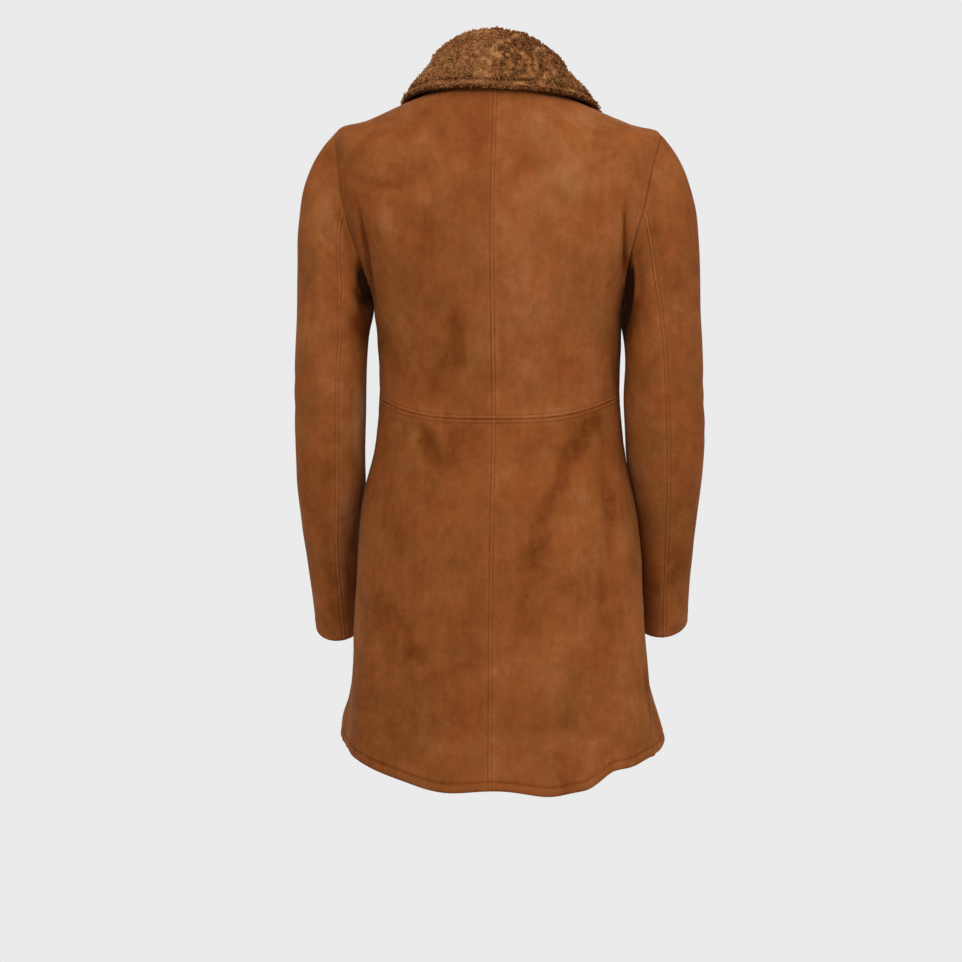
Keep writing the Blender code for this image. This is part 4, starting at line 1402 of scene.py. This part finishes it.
# ---- materials -----------------------------------------------------------------------------------
def node_group(name, inputs, outputs):
    """A new shader group with named sockets, and its input and output nodes."""
    group = bpy.data.node_groups.new(name, "ShaderNodeTree")
    for socket_name, kind, default in inputs:
        socket = group.interface.new_socket(socket_name, in_out="INPUT", socket_type=kind)
        socket.default_value = default
    for socket_name, kind in outputs:
        group.interface.new_socket(socket_name, in_out="OUTPUT", socket_type=kind)
    return group, group.nodes.new("NodeGroupInput"), group.nodes.new("NodeGroupOutput")


def feed(tree, node, inputs):
    """Feeds a node's inputs, by name or number, from other sockets or with values."""
    for name, value in inputs.items():
        if isinstance(value, bpy.types.NodeSocket):
            tree.links.new(value, node.inputs[name])
        else:
            node.inputs[name].default_value = value
    return node


def new_material(name):
    """A new material, its node tree and its shader."""
    material = bpy.data.materials.new(name)
    material.use_nodes = True
    return material, material.node_tree, material.node_tree.nodes["Principled BSDF"]


def math_node(tree, operation, *values):
    """The result of a sum or other operation on sockets and numbers."""
    node = tree.nodes.new("ShaderNodeMath")
    node.operation = operation
    return feed(tree, node, dict(enumerate(values))).outputs[0]


def mixed(tree, factor, first, second, blend="MIX"):
    """The result of mixing two colours by a factor."""
    node = tree.nodes.new("ShaderNodeMix")
    node.data_type, node.blend_type = "RGBA", blend
    return feed(tree, node, {"Factor": factor, "A": first, "B": second}).outputs["Result"]


DEEP_SHADE = (0.010, 0.004, 0.002, 1.0)  # painted deep shadow, mixed in where the tone is darkest: in the armpits, the deepest folds and the darkest roots of the locks
REDDER_DYE, OLIVE_DYE = (1.12, 0.92, 0.90, 1.0), (0.88, 1.08, 1.10, 1.0)
STREAK_STRETCH = (1.0, 1.0, 0.28)  # streaks run up and down
PATCH_FIRMNESS = 9.0
DEEP_BELOW, DEEP_RISE, DEEPEST = 1.15, -1.2, 0.92  # from what dark tone on, how fast and how far
TINT_RISE = 3.2
PILE_ROUGHNESS, CLUMP_ROUGHNESS, FIBRE_HEIGHT = 0.88, 0.10, 0.45
SPECULAR, SHEEN_ROUGHNESS = 0.06, 0.32
PILE_TONES = ("Dark", "Middle", "Light")
PILE_SIZES = ("Blotch", "Clump", "Fibre")
PILE_LAYERS = ("Nap", "Blotch", "Clump", "Fibre", "Patch", "Streak", "Tint")


def pile_group():
    """Tone and relief of a brushed or curled pile, by Object place: blotches, clumps and fibres, and by
    Nap, which also carries painted shade and highlight.
    """
    found = bpy.data.node_groups.get("pile")
    if found:
        return found
    group, given, result = node_group(
        "pile",
        [
            ("Vector", "NodeSocketVector", (0, 0, 0)),
            ("Nap", "NodeSocketFloat", 0.0),
            *((tone, "NodeSocketColor", (0, 0, 0, 1)) for tone in PILE_TONES),
            *((f"{layer} Size", "NodeSocketFloat", 100.0) for layer in PILE_SIZES),
            *((f"{layer} Strength", "NodeSocketFloat", 0.0) for layer in PILE_LAYERS),
        ],
        [("Color", "NodeSocketColor"), ("Roughness", "NodeSocketFloat"), ("Height", "NodeSocketFloat")],
    )
    out = given.outputs

    def calc(operation, *values):
        return math_node(group, operation, *values)

    def layer(size, detail, vector=None, times=1.0, bend=0.0):
        texture = group.nodes.new("ShaderNodeTexNoise")
        scale = calc("MULTIPLY", out[size], times)
        feed(group, texture, {"Vector": vector or out["Vector"], "Scale": scale})
        feed(group, texture, {"Detail": detail, "Roughness": 0.6, "Distortion": bend})
        return calc("SUBTRACT", texture.outputs["Fac"], 0.5)

    def between(low, high, value):
        return calc("MINIMUM", calc("MAXIMUM", value, low), high)

    drawn_out = group.nodes.new("ShaderNodeVectorMath")
    drawn_out.operation = "MULTIPLY"
    feed(group, drawn_out, {0: out["Vector"], 1: STREAK_STRETCH})
    streak = layer("Blotch Size", 3.0, drawn_out.outputs[0], 5.5)
    patch = calc("MULTIPLY", layer("Blotch Size", 3.0, None, 1.9, 0.7), PATCH_FIRMNESS)
    patch = between(-0.5, 0.5, patch)
    blotch, clump, fibre = layer("Blotch Size", 5.0), layer("Clump Size", 2.0), layer("Fibre Size", 1.0)
    tone = calc("MULTIPLY", out["Nap"], out["Nap Strength"])
    for value, name in zip((blotch, clump, fibre, patch, streak), PILE_LAYERS[1:]):
        tone = calc("ADD", tone, calc("MULTIPLY", value, out[f"{name} Strength"]))
    colour = mixed(group, between(0.0, 1.0, tone), out["Middle"], out["Light"])
    colour = mixed(group, between(0.0, 1.0, calc("MULTIPLY", tone, -1.0)), colour, out["Dark"])
    # painted deep shadow: below a dark tone the colour is mixed towards near black
    deep = calc("MULTIPLY", calc("ADD", tone, DEEP_BELOW), DEEP_RISE)
    deep = between(0.0, DEEPEST, deep)
    colour = mixed(group, deep, colour, DEEP_SHADE)
    dye = calc("MULTIPLY", layer("Blotch Size", 3.0, None, 0.9, 0.4), out["Tint Strength"])
    tint = mixed(group, calc("ADD", calc("MULTIPLY", dye, TINT_RISE), 0.5), REDDER_DYE, OLIVE_DYE)
    colour = mixed(group, 1.0, colour, tint, "MULTIPLY")
    rough = calc("ADD", PILE_ROUGHNESS, calc("MULTIPLY", clump, CLUMP_ROUGHNESS))
    height = calc("ADD", clump, calc("MULTIPLY", fibre, FIBRE_HEIGHT))
    feed(group, result, {"Color": colour, "Roughness": rough, "Height": height})
    return group


# Each finish: its dark, middle and light colour, the strengths of its layers in their order, their
# three sizes, the strength and distance of its bump, and the weight and tint of its sheen.
WOOL_TONES = ("wool_dark", "wool", "wool_light")
FINISHES = {
    "napped_suede": (
        ("suede_dark", "suede", "suede_light"),
        (0.48, 1.25, 0.45, 0.40, 0.14, 0.60, 0.36),
        (22.0, 190.0, 1500.0),
        (0.35, 0.0006),
        (0.05, "suede_sheen"),
    ),
    "clipped_wool": (
        WOOL_TONES,
        (0.45, 0.5, 1.6, 0.5, 0.0, 0.0, 0.4),
        (60.0, 330.0, 1300.0),
        (0.9, 0.0022),
        (0.08, "wool_light"),
    ),
    "curled_wool": (
        WOOL_TONES,
        (0.42, 0.35, 0.5, 0.4, 0.0, 0.0, 0.5),
        (40.0, 500.0, 2600.0),
        (0.4, 0.0006),
        (0.06, "wool_light"),
    ),
    "sewing_thread": (
        ("suede_dark", "thread", "suede"),
        (0.0, 0.2, 0.4, 0.4, 0.0, 0.0, 0.0),
        (40.0, 900.0, 4000.0),
        (0.4, 0.0003),
        (0.0, "suede_sheen"),
    ),
}


def pile_material(name):
    """A finish's material: its colours from the pile group, its sheen set on the shader and its bump on
    the bump node."""
    found = bpy.data.materials.get(name)
    if found:
        return found
    tones, strengths, sizes, (bump, bump_distance), (sheen, sheen_tint) = FINISHES[name]
    colours = bpy.context.scene.coat_colours

    def tint(tone):
        return (*getattr(colours, tone), 1.0)

    material, tree, shader = new_material(name)
    place = tree.nodes.new("ShaderNodeTexCoord").outputs["Object"]
    # reads the nap attribute: the nap's tone with its painted shade and highlight
    nap = tree.nodes.new("ShaderNodeAttribute")
    nap.attribute_name = "nap"
    pile = tree.nodes.new("ShaderNodeGroup")
    pile.node_tree = pile_group()
    feed(tree, pile, {"Vector": place, "Nap": nap.outputs["Fac"]})
    feed(tree, pile, {socket: tint(tone) for socket, tone in zip(PILE_TONES, tones)})
    feed(tree, pile, {f"{layer} Size": size for layer, size in zip(PILE_SIZES, sizes)})
    feed(tree, pile, {f"{layer} Strength": much for layer, much in zip(PILE_LAYERS, strengths)})
    raised = tree.nodes.new("ShaderNodeBump")
    feed(tree, raised, {"Strength": bump, "Distance": bump_distance, "Height": pile.outputs["Height"]})
    look = {
        "Base Color": pile.outputs["Color"],
        "Roughness": pile.outputs["Roughness"],
        "Normal": raised.outputs["Normal"],
        "Specular IOR Level": SPECULAR,
        "Sheen Weight": sheen,
        "Sheen Roughness": SHEEN_ROUGHNESS,
        "Sheen Tint": tint(sheen_tint),
    }
    feed(tree, shader, look)
    return material


# ---- settings, operators and panel ---------------------------------------------------------------
def number(name, text, default, **more):
    """A setting that is a plain number."""
    return bpy.props.FloatProperty(name=name, description=text, default=default, **more)


def metres(name, text, default):
    """A setting that is a length."""
    return number(name, text, default, unit="LENGTH", precision=4)


def colour(name, text, default):
    """A setting that is a colour, in linear light."""
    limits = {"subtype": "COLOR", "size": 3, "min": 0.0, "max": 1.0}
    return bpy.props.FloatVectorProperty(name=name, description=text, default=default, **limits)


class CoatSizes(bpy.types.PropertyGroup):
    mesh_step: metres("Mesh Step", "Distance between mesh lines, away from the seams", 0.0040)
    crease_strength: number("Creases", "How deep they are, 1 being as worn", 1.0, subtype="FACTOR")
    stitch_pitch: metres("Stitch Pitch", "Distance from one stitch to the next", 0.0036)
    stitch_length: metres("Stitch Length", "Length of one stitch", 0.0028)
    thread: metres("Thread", "Half the thickness of the thread", 0.00032)
    curl_count: bpy.props.IntProperty(name="Curls", description="Locks on the collar", default=9500)


class CoatColours(bpy.types.PropertyGroup):
    suede: colour("Suede", "The suede's middle tone", (0.208, 0.0625, 0.0148))
    # suede_light also gives the painted highlights, and suede_dark the painted shade in folds, grooves
    # and armpits
    suede_light: colour("Suede Light", "Nap brushed towards the light", (0.310, 0.117, 0.044))
    suede_dark: colour("Suede Dark", "Nap brushed away from the light", (0.105, 0.0245, 0.0030))
    suede_sheen: colour("Suede Sheen", "The bloom of the nap at a low angle", (0.52, 0.40, 0.25))
    wool: colour("Wool", "The wool's middle tone", (0.252, 0.098, 0.032))
    wool_light: colour("Wool Tips", "The sunlit tips of the curls", (0.45, 0.225, 0.086))
    wool_dark: colour("Wool Depths", "The shade between the curls", (0.066, 0.0195, 0.0035))
    thread: colour("Thread", "The stitching thread", (0.185, 0.060, 0.016))


class StudioSettings(bpy.types.PropertyGroup):
    backdrop: colour("Backdrop", "The pale studio all round", (0.83, 0.83, 0.83))
    key: number("Key", "Power of the lights, of which each has its share", 60.0, unit="POWER")
    floor_level: metres("Floor Level", "Height of the floor under the wearer's feet", -1.36)


class CoatOperator:
    bl_options = {"REGISTER", "UNDO"}


class COAT_OT_back(CoatOperator, bpy.types.Operator):
    """The two back bodices and the two back skirts, joined at the centre back and at the waist"""

    bl_idname = "coat.back"
    bl_label = "Back"

    def execute(self, context):
        for side in SIDES:
            piece, flat, area = make_back_bodice(side)
            piece, flat, area = make_back_skirt(side)
        return {"FINISHED"}


class COAT_OT_fronts(CoatOperator, bpy.types.Operator):
    """The two fronts, each in one piece from the shoulder to the hem"""

    bl_idname = "coat.fronts"
    bl_label = "Fronts"

    def execute(self, context):
        for side in SIDES:
            piece, flat, area = make_front(side)
        return {"FINISHED"}


class COAT_OT_sleeves(CoatOperator, bpy.types.Operator):
    """The two sleeves, each of a top piece and an under piece"""

    bl_idname = "coat.sleeves"
    bl_label = "Sleeves"

    def execute(self, context):
        for side in SIDES:
            for name, first, last in (
                ("sleeve_top", lambda *at: front_seam_turn(*at) - 360.0, back_seam_turn),
                ("sleeve_under", back_seam_turn, front_seam_turn),
            ):
                piece, flat, area = make_sleeve_piece(name, side, first, last)
        return {"FINISHED"}


class COAT_OT_collar(CoatOperator, bpy.types.Operator):
    """The turned-down collar, wool side out, and the curled locks of its wool"""

    bl_idname = "coat.collar"
    bl_label = "Collar"

    def execute(self, context):
        piece, flat, area = make_collar()
        curls = make_curls()
        return {"FINISHED"}


class COAT_OT_stitches(CoatOperator, bpy.types.Operator):
    """The rows of stitches beside the seams and above the turned edges"""

    bl_idname = "coat.stitches"
    bl_label = "Stitches"

    def execute(self, context):
        sizes = context.scene.coat_sizes
        for name, lines in STITCH_LINES.items():
            threads = []
            for seam_name, signs, neighbours in lines:
                seam = SEAMS[seam_name]
                for sign in signs:
                    offset = sign * STITCHED_AT[seam["kind"]]
                    threads.append(stitch_rings(seam, offset, neighbours, sizes))
            finish_piece(tube_mesh(name, np.concatenate(threads)), ("sewing_thread",))
        return {"FINISHED"}


class COAT_OT_studio(CoatOperator, bpy.types.Operator):
    """The pale floor, the soft lights and the camera"""

    bl_idname = "coat.studio"
    bl_label = "Studio"

    def execute(self, context):
        make_studio(context.scene.coat_studio)
        return {"FINISHED"}


class COAT_PT_panel(bpy.types.Panel):
    """The coat's operators and settings"""

    bl_idname = "COAT_PT_panel"
    bl_label = "Shearling Coat"
    bl_space_type = "VIEW_3D"
    bl_region_type = "UI"
    bl_category = "Coat"

    def draw(self, context):
        for operator in OPERATORS:
            self.layout.operator(operator.bl_idname)
        for group in (context.scene.coat_sizes, context.scene.coat_colours, context.scene.coat_studio):
            box = self.layout.box()
            for name in group.__annotations__:
                box.prop(group, name)


# ---- studio --------------------------------------------------------------------------------------
CAMERA_DISTANCE = 4.0
CAMERA_AZIMUTH = 184.5
PIXELS_PER_METRE = 820.0
FRAME_PIXELS = 962.0
AXIS_RIGHT_OF_MIDDLE = 18.0 / PIXELS_PER_METRE
ORIGIN_ABOVE_MIDDLE = 390.0 / PIXELS_PER_METRE
SENSOR = 36.0
FLOOR_RADIUS, FLOOR_CORNERS, FLOOR_GREY, FLOOR_ROUGHNESS = 1.9, 96, 0.58, 0.9
COAT_MIDDLE = (0.0, 0.0, -0.40)
LIGHTS = (
    # name, place, size, share of the key light's watts
    ("key", (0.3, 2.4, 1.35), 1.8, 0.58),
    ("fill", (-2.6, 2.2, 0.2), 2.4, 0.55),
    ("front_fill", (0.8, -3.8, 1.3), 2.4, 0.80),
    ("top", (0.0, 0.4, 2.4), 2.0, 0.35),
)


def look_at(thing, place, target):
    """Puts a light or a camera in its place and turns it to a target."""
    thing.location = place
    thing.rotation_mode = "QUATERNION"
    thing.rotation_quaternion = (Vector(target) - Vector(place)).to_track_quat("-Z", "Y")


def soft_light(name, place, target, size, power):
    """A square light of some metres, turned to a target."""
    data = bpy.data.lights.new(name, "AREA")
    data.shape, data.size, data.energy = "SQUARE", size, power
    look_at(in_scene(name, data), place, target)


def make_camera():
    """The camera behind the coat, with the origin above the middle of its view."""
    a = math.radians(CAMERA_AZIMUTH)
    back = np.array([math.sin(a), -math.cos(a), 0.0])
    right = np.array([math.cos(a), math.sin(a), 0.0])
    target = -right * AXIS_RIGHT_OF_MIDDLE - np.array([0.0, 0.0, ORIGIN_ABOVE_MIDDLE])
    data = bpy.data.cameras.new("camera")
    data.sensor_width = SENSOR
    data.lens = SENSOR * PIXELS_PER_METRE * CAMERA_DISTANCE / FRAME_PIXELS
    camera = in_scene("camera", data)
    look_at(camera, target + back * CAMERA_DISTANCE, target)
    bpy.context.scene.camera = camera


def make_studio(studio):
    """The camera, the pale surroundings, the lights and the floor."""
    make_camera()
    world = bpy.data.worlds.new("studio")
    bpy.context.scene.world = world
    world.use_nodes = True
    shade = world.node_tree.nodes["Background"]
    shade.inputs["Color"].default_value = (*studio.backdrop, 1.0)
    shade.inputs["Strength"].default_value = 1.0
    bpy.context.scene.view_settings.view_transform = "Standard"
    for name, place, size, share in LIGHTS:
        soft_light(name, place, COAT_MIDDLE, size, studio.key * share)
    make_floor(studio.floor_level)


def make_floor(level):
    """A round floor that belongs to the studio and not to the coat."""
    turns = np.radians(np.linspace(0, 360, FLOOR_CORNERS + 1))[:-1]
    across, along = FLOOR_RADIUS * np.cos(turns), FLOOR_RADIUS * np.sin(turns)
    rim = np.stack([across, along, 0 * turns + level], axis=-1)
    mesh = bpy.data.meshes.new("floor")
    mesh.from_pydata(rim.tolist(), [], [list(range(len(rim)))])
    floor = in_scene("floor", mesh)
    material, tree, shader = new_material("floor")
    grey = (FLOOR_GREY, FLOOR_GREY, FLOOR_GREY, 1.0)
    feed(tree, shader, {"Base Color": grey, "Roughness": FLOOR_ROUGHNESS})
    mesh.materials.append(material)


OPERATORS = (
    COAT_OT_back,
    COAT_OT_fronts,
    COAT_OT_sleeves,
    COAT_OT_collar,
    COAT_OT_stitches,
    COAT_OT_studio,
)
CLASSES = (CoatSizes, CoatColours, StudioSettings, *OPERATORS, COAT_PT_panel)


def register():
    for cls in CLASSES:
        bpy.utils.register_class(cls)
    bpy.types.Scene.coat_sizes = bpy.props.PointerProperty(type=CoatSizes)
    bpy.types.Scene.coat_colours = bpy.props.PointerProperty(type=CoatColours)
    bpy.types.Scene.coat_studio = bpy.props.PointerProperty(type=StudioSettings)


def unregister():
    for name in ("coat_sizes", "coat_colours", "coat_studio"):
        delattr(bpy.types.Scene, name)
    for cls in reversed(CLASSES):
        bpy.utils.unregister_class(cls)


def main():
    register()
    for name in ("back", "fronts", "sleeves", "collar", "stitches", "studio"):
        getattr(bpy.ops.coat, name)()


if __name__ == "__main__":
    main()
